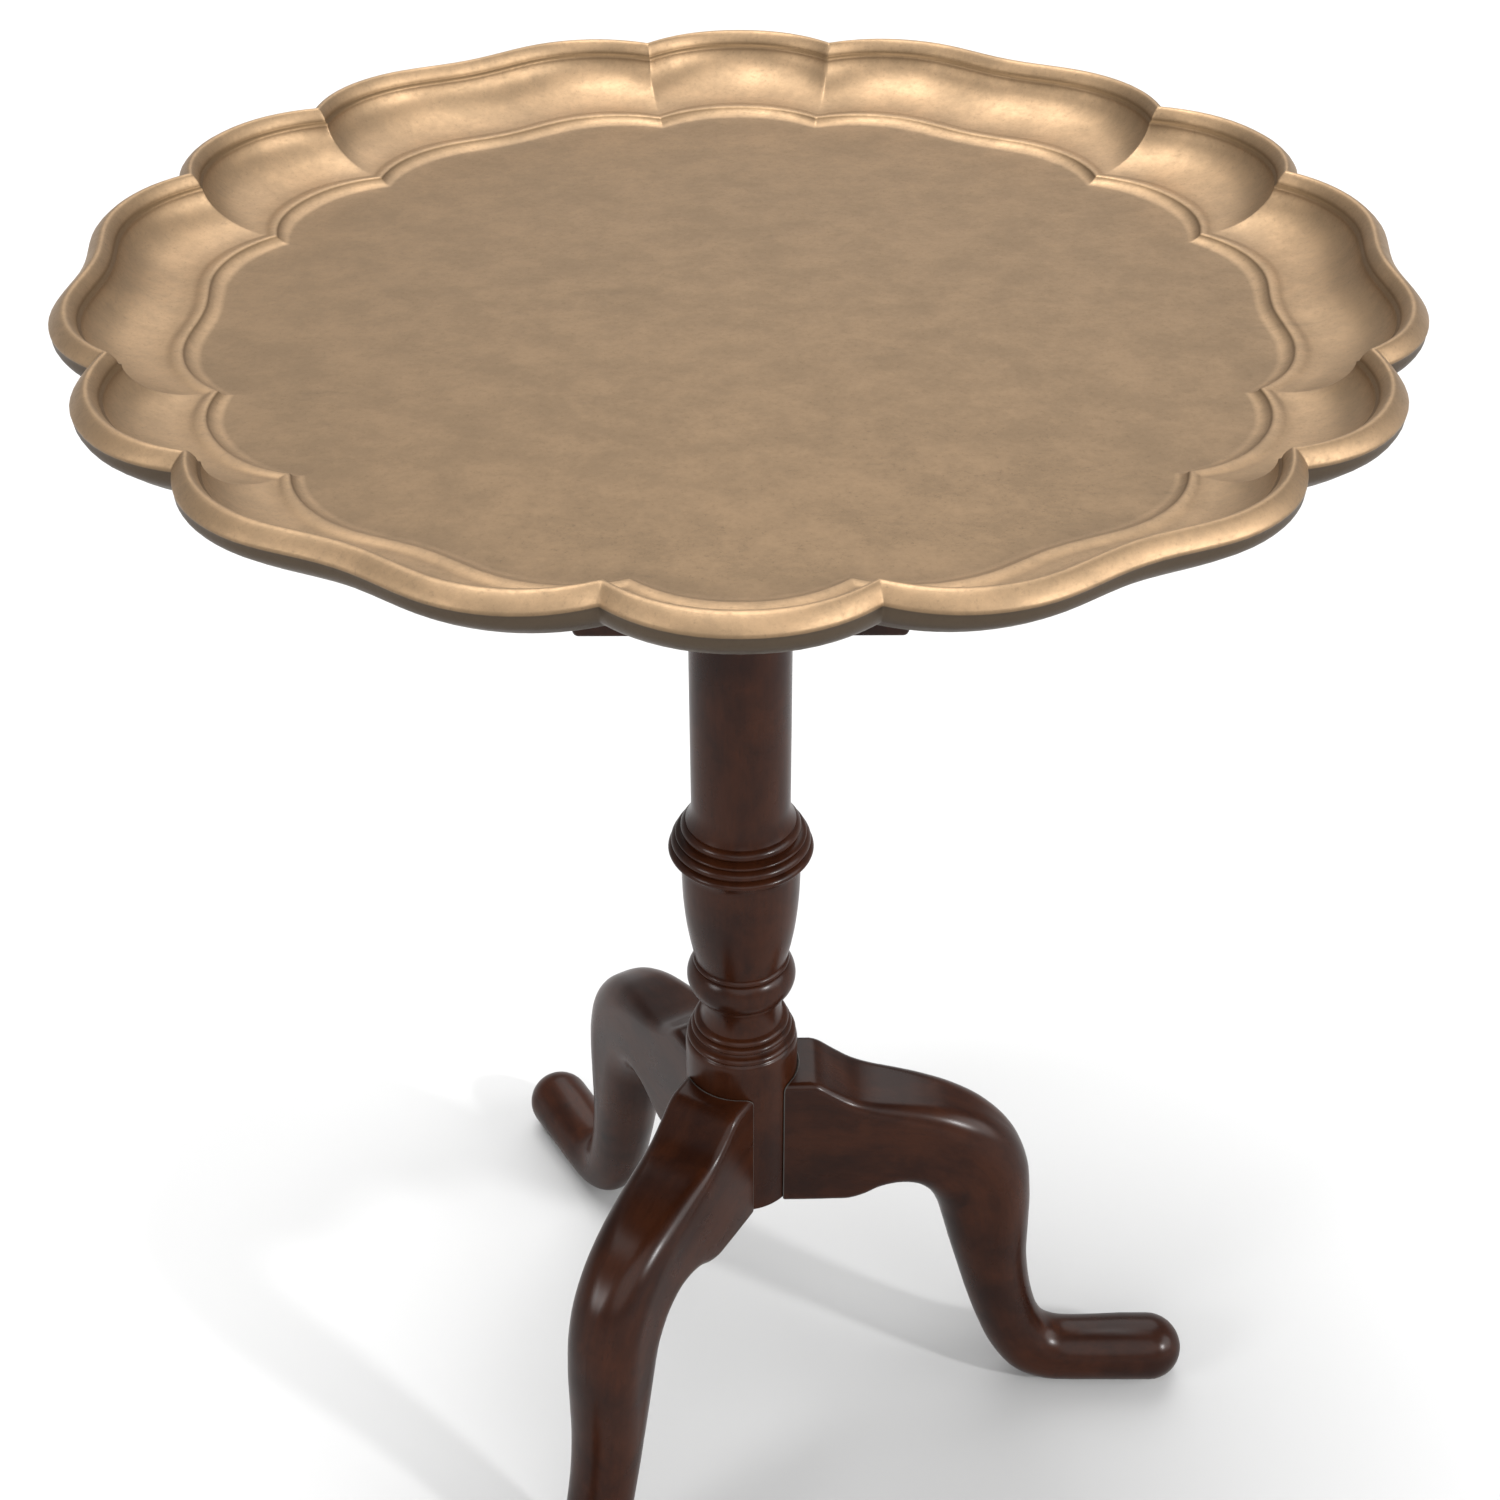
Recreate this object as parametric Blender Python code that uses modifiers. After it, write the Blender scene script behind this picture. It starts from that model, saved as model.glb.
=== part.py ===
"""Tilt-top tripod table with a scalloped brass tray, in metres, +Z up.

The origin is on the floor under the pedestal's axis. Legs stand at 0, 120 and 240 degrees from +X.
The tray, its two bearers and the catch tilt up together about a pair of pivot pins in the top block.
Lengths in this file are written in millimetres, and MM turns them into metres.
"""

import math

import bmesh
import bpy
from mathutils import Matrix, Vector

MM = 0.001
GAP = 0.3                       # clearance between neighbouring pieces

# Tray: radii are those at the cusps of the scalloped edge
TRAY_TOP = 660.0
FLOOR_TOP = 634.6
SHEET = 3.0
FLOOR_UNDER = FLOOR_TOP - SHEET
NARROW_HALF = 10.1              # half-angle of a narrow lobe, in degrees
NARROW_SWELL = 0.0585           # how far each part of the scallop stands out, as a share of the radius
WIDE_SWELL = 0.0545
WIDE_TROUGH = 0.0290
LOBE_POWER = 2.2
NARROW_STEPS = 4
WIDE_STEPS = 8

# Pedestal
COLUMN_BOTTOM = 155.0
SOCLE_RADIUS = 27.4             # plain cylinder that the legs stand against
SHAFT_RADIUS = 22.75
SHAFT_TOP = 597.7
TENON_RADIUS = 12.0
TENON_TOP = 630.2
TURNING_STEPS = 24

# Legs
LEG_AZIMUTHS = (0.0, 120.0, 240.0)
TONGUE_TOP = 217.0
TONGUE_BOTTOM = 157.6
TONGUE_ROOT = 12.3              # distance of the tongue's wide inner face from the axis
PAD_PLACE = 208.0
PAD_RADIUS = 7.0
PAD_TOP = 3.0

# Top block, bearers and pivot
BLOCK_HALF = 31.5
BLOCK_FRONT = -60.0
BLOCK_BOTTOM = 598.0
BLOCK_TOP = 630.5
PIVOT_Y = 50.0
PIVOT_Z = 621.0
PIVOT_RADIUS = 4.0
PIVOT_BORE = 4.4
PIN_INNER_END = 16.4            # distance of each pin's inner end from the middle plane
BLOCK_ROUND = 9.5               # radius of the block's upper back edge, about the pivot
BEARER_INNER = 32.0
BEARER_OUTER = 56.4
BEARER_HALF_LENGTH = 197.0
BEARER_BOTTOM = 610.4
BEARER_TOP = FLOOR_UNDER - GAP
BOSS_RADIUS = 6.0
BOSS_BOTTOM = 624.6
BOSS_YS = (-165.0, -20.0, 155.0)

# Catch
CLEAT_YS = (-112.0, -66.0)
CLEAT_BOTTOM = 619.5
CASE_TOP = CLEAT_BOTTOM - GAP
CASE_BOTTOM = 609.2
BOLT_HALF = 5.0
BOLT_ZS = (613.6, 618.6)
BOLT_NOSE = -62.0
BOLT_TAIL = -106.0
CATCH_TRAVEL = 9.0
STRIKE_HALF = 17.0
STRIKE_SHEET = 1.4
STRIKE_ZS = (608.0, 624.2)
KNOB_Y = -98.0
KNOB_RADIUS = 4.6
KNOB_MIDDLE = 602.0
STEM_RADIUS = 2.0


# ---------------------------------------------------------------- scene and materials

def clear_scene():
    for obj in list(bpy.data.objects):
        bpy.data.objects.remove(obj, do_unlink=True)


def new_collection(name):
    collection = bpy.data.collections.new(name)
    bpy.context.scene.collection.children.link(collection)
    return collection


def material(name, colour, metallic, roughness):
    made = bpy.data.materials.new(name)
    made.use_nodes = True
    shader = made.node_tree.nodes["Principled BSDF"]
    shader.inputs["Base Color"].default_value = (*colour, 1.0)
    shader.inputs["Metallic"].default_value = metallic
    shader.inputs["Roughness"].default_value = roughness
    made.diffuse_color = (*colour, 1.0)
    return made


clear_scene()
PARTS = new_collection("brass_tray_table")
CUTTERS = new_collection("cutters")
TRAY_BRASS = material("tray_brass", (0.46, 0.32, 0.17), 1.0, 0.38)
FITTING_BRASS = material("fitting_brass", (0.58, 0.42, 0.20), 1.0, 0.30)
MAHOGANY = material("mahogany", (0.055, 0.020, 0.012), 0.0, 0.22)
STEEL = material("steel", (0.32, 0.31, 0.30), 1.0, 0.40)
FELT = material("felt", (0.05, 0.06, 0.05), 0.0, 0.95)


# ---------------------------------------------------------------- mesh helpers

def add_part(name, mesh, finish, place=(0.0, 0.0, 0.0), turn=0.0):
    """A finished piece from a mesh, set down at a place in millimetres and turned about Z in degrees."""
    if not mesh.materials:
        mesh.materials.append(finish)
    obj = bpy.data.objects.new(name, mesh)
    obj.location = Vector(place) * MM
    obj.rotation_euler.z = math.radians(turn)
    PARTS.objects.link(obj)
    return obj


def add_cutter(name, mesh, turn=0.0):
    obj = bpy.data.objects.new(name, mesh)
    obj.rotation_euler.z = math.radians(turn)
    obj.hide_render = True
    obj.display_type = "WIRE"
    CUTTERS.objects.link(obj)
    return obj


def mesh_from(name, shape, smooth_angle=35.0):
    bmesh.ops.recalc_face_normals(shape, faces=shape.faces)
    mesh = bpy.data.meshes.new(name)
    shape.to_mesh(mesh)
    shape.free()
    mesh.shade_smooth()
    mesh.set_sharp_from_angle(angle=math.radians(smooth_angle))
    return mesh


def box_mesh(name, low, high, edge=0.0):
    """A box between two corners in millimetres, its edges eased by a two-segment bevel."""
    shape = bmesh.new()
    bmesh.ops.create_cube(shape, size=1.0)
    size = [h - l for l, h in zip(low, high)]
    middle = [(h + l) / 2 for l, h in zip(low, high)]
    bmesh.ops.scale(shape, vec=Vector(size) * MM, verts=shape.verts)
    bmesh.ops.translate(shape, vec=Vector(middle) * MM, verts=shape.verts)
    if edge:
        bmesh.ops.bevel(shape, geom=shape.edges[:], offset=edge * MM, segments=2, profile=0.5, affect="EDGES")
    return mesh_from(name, shape)


def rod_mesh(name, start, axis, length, radius, sides=16):
    """A round bar from a point in millimetres, along an axis."""
    shape = bmesh.new()
    bmesh.ops.create_cone(shape, cap_ends=True, segments=sides, radius1=radius * MM, radius2=radius * MM,
                          depth=length * MM)
    bmesh.ops.translate(shape, vec=(0, 0, length * MM / 2), verts=shape.verts)
    aim = Vector((0, 0, 1)).rotation_difference(Vector(axis)).to_matrix().to_4x4()
    bmesh.ops.transform(shape, matrix=Matrix.Translation(Vector(start) * MM) @ aim, verts=shape.verts)
    return mesh_from(name, shape)


def turned_mesh(name, profile, steps):
    """A closed turning about Z. The profile holds (radius, height) in millimetres from top to bottom."""
    outline = bpy.data.meshes.new(name + "_profile")
    points = [(r * MM, 0.0, z * MM) for r, z in profile]
    outline.from_pydata(points, [(i, i + 1) for i in range(len(points) - 1)], [])
    blank = bpy.data.objects.new(name + "_blank", outline)
    bpy.context.scene.collection.objects.link(blank)
    lathe = blank.modifiers.new("Lathe", "SCREW")
    lathe.steps = lathe.render_steps = steps
    lathe.use_merge_vertices = True
    lathe.merge_threshold = 0.00001
    lathe.use_smooth_shade = True
    return baked(name, blank)


def baked(name, obj):
    """The object's mesh with its modifiers applied. The object itself is removed."""
    graph = bpy.context.evaluated_depsgraph_get()
    mesh = bpy.data.meshes.new_from_object(obj.evaluated_get(graph))
    mesh.name = name
    bpy.data.objects.remove(obj, do_unlink=True)
    mesh.shade_smooth()
    mesh.set_sharp_from_angle(angle=math.radians(35.0))
    return mesh


def moved(mesh, place, axis=(0, 0, 1)):
    """Moves a mesh made along +Z to a place in millimetres, with its +Z turned to the axis."""
    aim = Vector((0, 0, 1)).rotation_difference(Vector(axis)).to_matrix().to_4x4()
    mesh.transform(Matrix.Translation(Vector(place) * MM) @ aim)
    return mesh


def cut(obj, *cutters):
    boolean(obj, "DIFFERENCE", cutters)


def join(obj, *additions):
    boolean(obj, "UNION", additions)


def boolean(obj, operation, others):
    for other in others:
        step = obj.modifiers.new(other.name, "BOOLEAN")
        step.operation = operation
        step.solver = "EXACT"
        step.object = other


def prism_mesh(name, outline, half_thickness):
    """A flat outline of (x, y) points in millimetres, made solid to each side of its plane."""
    curve = bpy.data.curves.new(name, "CURVE")
    curve.dimensions = "2D"
    curve.fill_mode = "BOTH"
    curve.extrude = half_thickness * MM
    spline = curve.splines.new("POLY")
    spline.points.add(len(outline) - 1)
    for point, (x, y) in zip(spline.points, outline):
        point.co = (x * MM, y * MM, 0.0, 1.0)
    spline.use_cyclic_u = True
    flat = bpy.data.objects.new(name, curve)
    bpy.context.scene.collection.objects.link(flat)
    mesh = baked(name, flat)
    shape = bmesh.new()
    shape.from_mesh(mesh)
    bmesh.ops.remove_doubles(shape, verts=shape.verts, dist=0.00001)
    bpy.data.meshes.remove(mesh)
    return mesh_from(name, shape)


def loft_mesh(name, rings, start=None, end=None):
    """A closed skin over rings of points in metres. An end is capped by a fan to a point, or by one face."""
    shape = bmesh.new()
    rows = [[shape.verts.new(point) for point in ring] for ring in rings]
    count = len(rows[0])
    for row, following in zip(rows, rows[1:]):
        for i in range(count):
            j = (i + 1) % count
            shape.faces.new((row[i], row[j], following[j], following[i]))
    for row, tip in ((rows[0], start), (rows[-1], end)):
        if tip is None:
            shape.faces.new(row)
            continue
        centre = shape.verts.new(tip)
        for i in range(count):
            shape.faces.new((row[i], row[(i + 1) % count], centre))
    return mesh_from(name, shape)


# ---------------------------------------------------------------- screws

def screw_profile(head, shank, length, ease=0.0):
    """A countersunk wood screw with its head's face at height 0 and its point below."""
    top = 1.0 if ease else 0.0
    slope = head - shank
    return [(0.0, top), (head + ease, top), (head + ease, 0.0 - ease / 2), (shank + ease, -slope - ease / 2),
            (shank + ease, -length + 1.5 * shank), (0.0, -length - ease)]


def screw_mesh(name, head, shank, length):
    blank = bpy.data.objects.new(name, turned_mesh(name, screw_profile(head, shank, length), 12))
    bpy.context.scene.collection.objects.link(blank)
    slot = box_mesh(name + "_slot", (-head - 1, -0.5, -0.9), (head + 1, 0.5, 1.0))
    cut(blank, add_cutter(name + "_slot", slot))
    return baked(name, blank)


def screw_hole(name, head, shank, length, place, axis):
    mesh = turned_mesh(name, screw_profile(head, shank, length, GAP), 12)
    return add_cutter(name, moved(mesh, place, axis))


def add_screw(name, kind, place, axis, finish, *targets):
    """Drives a screw whose head faces the axis, and clears its hole in each target."""
    head, shank, length = kind
    add_part(name, moved(screw_mesh(name, head, shank, length), place, axis), finish)
    hole = screw_hole(name + "_hole", head, shank, length, place, axis)
    for target in targets:
        cut(target, hole)


TRAY_SCREW = (4.2, 1.8, 18.3)
CLEAT_SCREW = (4.0, 1.8, 36.0)
SMALL_SCREW = (2.8, 1.2, 12.0)
PLATE_SCREW = (2.8, 1.4, 14.0)


# ---------------------------------------------------------------- tray

def lobe(degrees):
    """How far the scalloped edge stands out at an angle, as a share of the radius at the cusps."""
    off_narrow = abs((degrees + 120.0) % 60.0 - 30.0)
    if off_narrow <= NARROW_HALF:
        return NARROW_SWELL * (1.0 - (off_narrow / NARROW_HALF) ** LOBE_POWER)
    across = (30.0 - off_narrow) / (30.0 - NARROW_HALF)
    if across < 0.5:
        rise = (1.0 - math.cos(2.0 * math.pi * across)) / 2.0
        return WIDE_TROUGH + (WIDE_SWELL - WIDE_TROUGH) * rise
    return WIDE_SWELL * (1.0 - abs(2.0 * across - 1.0) ** LOBE_POWER)


def scallop_angles():
    """Angles round the tray, with one on every cusp."""
    angles = []
    for k in range(6):
        narrow = -90.0 + 60.0 * k
        angles += [narrow - NARROW_HALF + 2 * NARROW_HALF * i / NARROW_STEPS for i in range(NARROW_STEPS)]
        wide = 60.0 - 2 * NARROW_HALF
        angles += [narrow + NARROW_HALF + wide * i / WIDE_STEPS for i in range(WIDE_STEPS)]
    return angles


def tray_ring(radius, height, share):
    ring = []
    for degrees in scallop_angles():
        reach = radius * (1.0 + share * lobe(degrees)) * MM
        angle = math.radians(degrees)
        ring.append((reach * math.cos(angle), reach * math.sin(angle), height * MM))
    return ring


# (radius at a cusp, height, share of the scallop), from the floor out over the rim and back underneath
TRAY_SECTION = (
    (200.5, FLOOR_TOP, 0.85),
    (204.6, 635.1, 0.92),
    (205.2, 636.4, 0.92),
    (210.3, 637.0, 1.0),
    (222.8, 639.4, 1.0),
    (232.2, 644.6, 1.0),
    (237.2, 650.4, 1.0),
    (238.3, 654.7, 1.0),
    (242.9, TRAY_TOP, 1.0),
    (249.1, 654.5, 1.0),
    (248.8, 650.0, 0.98),
    (245.6, 645.4, 0.93),
    (237.6, 639.8, 0.90),
    (225.0, 635.2, 0.88),
    (211.0, 632.6, 0.86),
    (200.0, FLOOR_UNDER, 0.85),
)


def make_tray():
    rings = [tray_ring(*part) for part in TRAY_SECTION]
    centre_top = (0.0, 0.0, FLOOR_TOP * MM)
    centre_under = (0.0, 0.0, FLOOR_UNDER * MM)
    tray = add_part("tray", loft_mesh("tray", rings, centre_top, centre_under), TRAY_BRASS)
    for side in (-1, 1):
        for y in BOSS_YS:
            place = (side * (BEARER_INNER + BEARER_OUTER) / 2, y, BOSS_BOTTOM)
            height = FLOOR_UNDER + SHEET / 3 - BOSS_BOTTOM
            join(tray, add_cutter("boss", rod_mesh("boss", place, (0, 0, 1), height, BOSS_RADIUS)))
    return tray


# ---------------------------------------------------------------- pedestal

def bead(top, bottom, r_top, r_bottom, r_most, steps=4):
    """Half-round moulding between two heights, as profile points from top to bottom."""
    points = []
    for i in range(steps + 1):
        along = i / steps
        base = r_top + (r_bottom - r_top) * along
        swell = (r_most - (r_top + r_bottom) / 2) * math.sin(math.pi * along) ** 0.7
        points.append((base + swell, top + (bottom - top) * along))
    return points


def taper(top, bottom, r_top, r_bottom, power, steps):
    """A stretch whose radius leaves r_top slowly and reaches r_bottom fast."""
    return [(r_top + (r_bottom - r_top) * (i / steps) ** power, top + (bottom - top) * i / steps)
            for i in range(steps + 1)]


def column_profile():
    profile = [(0.0, TENON_TOP), (TENON_RADIUS - 0.6, TENON_TOP), (TENON_RADIUS, TENON_TOP - 0.6)]
    profile += [(TENON_RADIUS, SHAFT_TOP), (SHAFT_RADIUS - 0.6, SHAFT_TOP), (SHAFT_RADIUS, SHAFT_TOP - 0.6)]
    profile += taper(395.0, 384.5, SHAFT_RADIUS, 25.4, 2.4, 3)
    profile += bead(383.6, 378.9, 25.2, 26.4, 27.6, 3)
    profile += bead(378.5, 375.9, 27.4, 28.8, 30.2, 3)
    profile += bead(375.5, 371.0, 29.8, 30.6, 32.2, 3)
    profile += bead(370.6, 366.0, 31.4, 31.0, 33.6, 3)
    profile += [(28.4, 365.3), (28.4, 362.2)]
    profile += taper(361.4, 303.0, 27.7, 22.0, 2.5, 5)
    profile += [(22.9, 302.4), (23.1, 300.9), (22.4, 300.2)]
    profile += bead(299.8, 282.2, 22.2, 21.6, 26.1, 6)
    profile += [(21.3, 281.7), (21.3, 280.3), (20.4, 279.7), (19.5, 272.5), (20.2, 265.4)]
    profile += bead(265.0, 261.6, 21.0, 22.0, 22.9, 3)
    profile += bead(261.2, 257.8, 22.8, 23.2, 24.5, 3)
    profile += bead(256.4, 252.9, 24.6, 25.6, 26.5, 3)
    profile += [(25.9, 252.5), (26.8, 251.6), (27.3, 250.1), (SOCLE_RADIUS, 248.4)]
    profile += [(SOCLE_RADIUS, COLUMN_BOTTOM), (0.0, COLUMN_BOTTOM)]
    return profile


def dovetail_mesh(name, root, ease, bottom, top):
    """Sliding dovetail along +X, wide at its inner face and narrow at its mouth, as an upright prism."""
    mouth = SOCLE_RADIUS + 3.0
    outline = [(root, -6.5 - ease), (mouth, -4.5 - ease), (mouth, 4.5 + ease), (root, 6.5 + ease)]
    mesh = prism_mesh(name, outline, (top - bottom) / 2)
    mesh.transform(Matrix.Translation((0, 0, (top + bottom) / 2 * MM)))
    return mesh


def make_column():
    column = add_part("column", turned_mesh("column", column_profile(), TURNING_STEPS), MAHOGANY)
    for azimuth in LEG_AZIMUTHS:
        socket = dovetail_mesh("socket", TONGUE_ROOT - GAP, GAP, COLUMN_BOTTOM - 1.0, TONGUE_TOP + GAP)
        cut(column, add_cutter("socket", socket, azimuth))
    recess = rod_mesh("plate_recess", (0, 0, COLUMN_BOTTOM - 1.0), (0, 0, 1), 3.5, 17.4, 24)
    kerf = box_mesh("kerf", (-1.5, -14.0, TENON_TOP - 20.0), (1.5, 14.0, TENON_TOP + 1.0))
    cut(column, add_cutter("plate_recess", recess), add_cutter("kerf", kerf))
    return column


def make_wedge():
    outline = [(-1.2, TENON_TOP), (-0.5, TENON_TOP - 19.0), (0.5, TENON_TOP - 19.0), (1.2, TENON_TOP)]
    mesh = prism_mesh("tenon_wedge", outline, 11.2)
    mesh.transform(Matrix.Rotation(math.radians(90.0), 4, "X"))
    add_part("tenon_wedge", mesh, MAHOGANY)


def make_base_plate(column):
    """Iron disc let into the foot of the column, which keeps the dovetail tongues from dropping out."""
    place = (0, 0, COLUMN_BOTTOM + 0.2)
    plate = add_part("base_plate", rod_mesh("base_plate", place, (0, 0, 1), 2.0, 17.0, 24), STEEL)
    for number, azimuth in enumerate((60.0, 180.0, 300.0), 1):
        angle = math.radians(azimuth)
        spot = (10.0 * math.cos(angle), 10.0 * math.sin(angle), COLUMN_BOTTOM + 0.2)
        add_screw(f"base_plate_screw_{number}", PLATE_SCREW, spot, (0, 0, -1), STEEL, plate, column)


# ---------------------------------------------------------------- legs

# Each rung is a cut across the leg, seen from the side: (upper reach, upper height), (lower reach,
# lower height), half-width, and how round its corners are, from 0 for square to 1 for full round.
LEG_RUNGS = (
    ((15.0, 232.8), (15.0, 152.0), 18.8, 0.22),
    ((36.0, 232.4), (36.0, 152.0), 18.8, 0.22),
    ((46.0, 226.0), (46.0, 152.0), 18.8, 0.25),
    ((55.0, 220.4), (54.5, 152.2), 18.8, 0.28),
    ((65.0, 217.2), (62.0, 154.6), 18.8, 0.34),
    ((77.0, 215.0), (69.5, 158.6), 18.8, 0.42),
    ((91.0, 212.0), (78.5, 160.4), 18.8, 0.52),
    ((107.5, 206.8), (87.0, 158.6), 18.8, 0.66),
    ((123.5, 198.0), (93.0, 153.4), 18.7, 0.80),
    ((137.5, 183.5), (97.2, 146.0), 18.5, 0.92),
    ((145.5, 165.5), (100.6, 136.8), 18.3, 1.0),
    ((148.6, 144.0), (103.8, 125.2), 18.1, 1.0),
    ((149.4, 121.0), (107.8, 109.5), 17.8, 1.0),
    ((150.0, 98.0), (113.0, 90.5), 17.4, 1.0),
    ((152.4, 78.0), (119.0, 69.0), 17.0, 1.0),
    ((156.2, 60.0), (126.0, 47.5), 16.6, 1.0),
    ((160.4, 48.0), (134.6, 26.8), 16.4, 1.0),
    ((165.6, 40.3), (146.8, 10.0), 16.5, 1.0),
    ((173.0, 36.6), (161.8, 2.4), 16.8, 1.0),
    ((182.0, 35.8), (177.0, 0.8), 17.1, 1.0),
    ((193.0, 36.0), (192.0, 0.8), 17.5, 1.0),
    ((207.0, 36.6), (207.0, 0.8), 17.9, 1.0),
)
TOE_CENTRE = 221.6
TOE_RADIUS = 17.9
TOE_LIFT = 0.8                  # the toe clears the floor by this much, on its pad
CORNER_STEPS = 4


def section_points(half_width, half_depth, roundness):
    """Points (across, along) round a rectangle with rounded corners, from the upper right corner."""
    corner = min(half_width, half_depth) * roundness
    points = []
    for quadrant, (sx, sy) in enumerate(((1, 1), (-1, 1), (-1, -1), (1, -1))):
        for i in range(CORNER_STEPS + 1):
            angle = math.radians(90.0 * (quadrant + i / CORNER_STEPS))
            points.append((sx * (half_width - corner) + corner * math.cos(angle),
                           sy * (half_depth - corner) + corner * math.sin(angle)))
    return points


def leg_ring(upper, lower, half_width, roundness):
    up, down = Vector(upper), Vector(lower)
    middle = (up + down) / 2
    along = (up - down).normalized()
    half_depth = (up - down).length / 2
    ring = []
    for across, height in section_points(half_width, half_depth, roundness):
        spot = middle + along * height
        ring.append((spot.x * MM, across * MM, spot.y * MM))
    return ring


def toe_rings():
    """Rings over the ball that ends the foot."""
    for degrees in (0.0, 25.0, 48.0, 70.0):
        angle = math.radians(degrees)
        reach = TOE_CENTRE + TOE_RADIUS * math.sin(angle)
        half = TOE_RADIUS * math.cos(angle)
        height = TOE_LIFT + TOE_RADIUS
        yield (reach, height + half), (reach, height - half), half, 1.0


def make_leg_mesh():
    rungs = list(LEG_RUNGS) + list(toe_rings())
    tip = ((TOE_CENTRE + TOE_RADIUS) * MM, 0.0, (TOE_LIFT + TOE_RADIUS) * MM)
    skin = loft_mesh("leg", [leg_ring(*rung) for rung in rungs], None, tip)
    blank = bpy.data.objects.new("leg_blank", skin)
    bpy.context.scene.collection.objects.link(blank)
    seat = rod_mesh("leg_seat", (0, 0, 130.0), (0, 0, 1), 120.0, SOCLE_RADIUS + GAP, 40)
    tongue = dovetail_mesh("leg_tongue", TONGUE_ROOT, 0.0, TONGUE_BOTTOM, TONGUE_TOP)
    pad_depth = PAD_TOP + GAP + 1.0
    pad_seat = rod_mesh("pad_seat", (PAD_PLACE, 0, -1.0), (0, 0, 1), pad_depth, PAD_RADIUS + GAP, 20)
    cut(blank, add_cutter("leg_seat", seat))
    join(blank, add_cutter("leg_tongue", tongue))
    cut(blank, add_cutter("pad_seat", pad_seat))
    return baked("leg", blank)


def make_legs():
    leg = make_leg_mesh()
    for number, azimuth in enumerate(LEG_AZIMUTHS, 1):
        add_part(f"leg_{number}", leg, MAHOGANY, turn=azimuth)
        pad = rod_mesh("foot_pad", (PAD_PLACE, 0, 0), (0, 0, 1), PAD_TOP, PAD_RADIUS, 20)
        add_part(f"foot_pad_{number}", pad, FELT, turn=azimuth)


# ---------------------------------------------------------------- block, bearers and pivot

def make_block():
    """Block on the column's tenon. Its upper back edge is round about the pivot, to let the top swing."""
    back = PIVOT_Y + BLOCK_ROUND
    outline = [(BLOCK_FRONT, BLOCK_BOTTOM), (back, BLOCK_BOTTOM)]
    for i in range(7):
        angle = math.radians(90.0 * i / 6)
        outline.append((PIVOT_Y + BLOCK_ROUND * math.cos(angle), PIVOT_Z + BLOCK_ROUND * math.sin(angle)))
    outline.append((BLOCK_FRONT, BLOCK_TOP))
    mesh = prism_mesh("top_block", outline, BLOCK_HALF)
    stand = Matrix(((0, 0, 1, 0), (1, 0, 0, 0), (0, 1, 0, 0), (0, 0, 0, 1)))
    mesh.transform(stand)
    block = add_part("top_block", mesh, MAHOGANY)
    mortise = rod_mesh("tenon_mortise", (0, 0, BLOCK_BOTTOM - 5.0), (0, 0, 1), 45.0, TENON_RADIUS + GAP, 32)
    cut(block, add_cutter("tenon_mortise", mortise))
    return block


def make_bearer(side, name, pivot_hole):
    inner, outer = sorted((side * BEARER_INNER, side * BEARER_OUTER))
    low = (inner, -BEARER_HALF_LENGTH, BEARER_BOTTOM)
    high = (outer, BEARER_HALF_LENGTH, BEARER_TOP)
    bearer = add_part(name, box_mesh(name, low, high, 2.0), MAHOGANY)
    cut(bearer, pivot_hole)
    for y in BOSS_YS:
        place = ((inner + outer) / 2, y, BOSS_BOTTOM - GAP)
        seat = rod_mesh("boss_seat", place, (0, 0, 1), 12.0, BOSS_RADIUS + 0.4)
        cut(bearer, add_cutter("boss_seat", seat))
    return bearer


def make_pivot(side, name, block):
    """Pin fixed in the block, with its washer and round head outside the bearer."""
    axis = (side, 0, 0)
    inner_end = PIN_INNER_END
    head = BEARER_OUTER + 1.6
    profile = [(0.0, head + 3.2), (4.6, head + 2.6), (6.5, head + 1.0), (6.5, head), (PIVOT_RADIUS, head),
               (PIVOT_RADIUS, inner_end + 1.0), (PIVOT_RADIUS - 1.0, inner_end), (0.0, inner_end)]
    pin = turned_mesh(name, profile, 20)
    add_part(name, moved(pin, (0, PIVOT_Y, PIVOT_Z), axis), STEEL)
    bore_start = (side * (inner_end - GAP), PIVOT_Y, PIVOT_Z)
    bore = add_cutter("pin_bore", rod_mesh("pin_bore", bore_start, axis, 60.0, PIVOT_BORE, 20))
    cut(block, bore)
    washer = rod_mesh("washer", (side * (BEARER_OUTER + GAP), PIVOT_Y, PIVOT_Z), axis, 1.0, 7.5, 20)
    cut(add_part(name.replace("pin", "washer"), washer, STEEL), bore)
    return bore


# ---------------------------------------------------------------- catch

def make_catch(bearers, block):
    cleat_low = (-BEARER_INNER + GAP, CLEAT_YS[0], CLEAT_BOTTOM)
    cleat_high = (BEARER_INNER - GAP, CLEAT_YS[1], BEARER_TOP)
    cleat = add_part("catch_cleat", box_mesh("catch_cleat", cleat_low, cleat_high, 0.8), MAHOGANY)
    for side, bearer in zip((-1, 1), bearers):
        name = "cleat_screw_left" if side < 0 else "cleat_screw_right"
        place = (side * BEARER_OUTER, sum(CLEAT_YS) / 2, 625.5)
        add_screw(name, CLEAT_SCREW, place, (side, 0, 0), STEEL, bearer, cleat)
    case = make_catch_case()
    for side, name in ((-1, "case_screw_left"), (1, "case_screw_right")):
        add_screw(name, SMALL_SCREW, (side * 12.0, sum(CLEAT_YS) / 2, CASE_BOTTOM), (0, 0, -1),
                  FITTING_BRASS, case, cleat)
    make_bolt_and_knob()
    make_strike(block)


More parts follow.
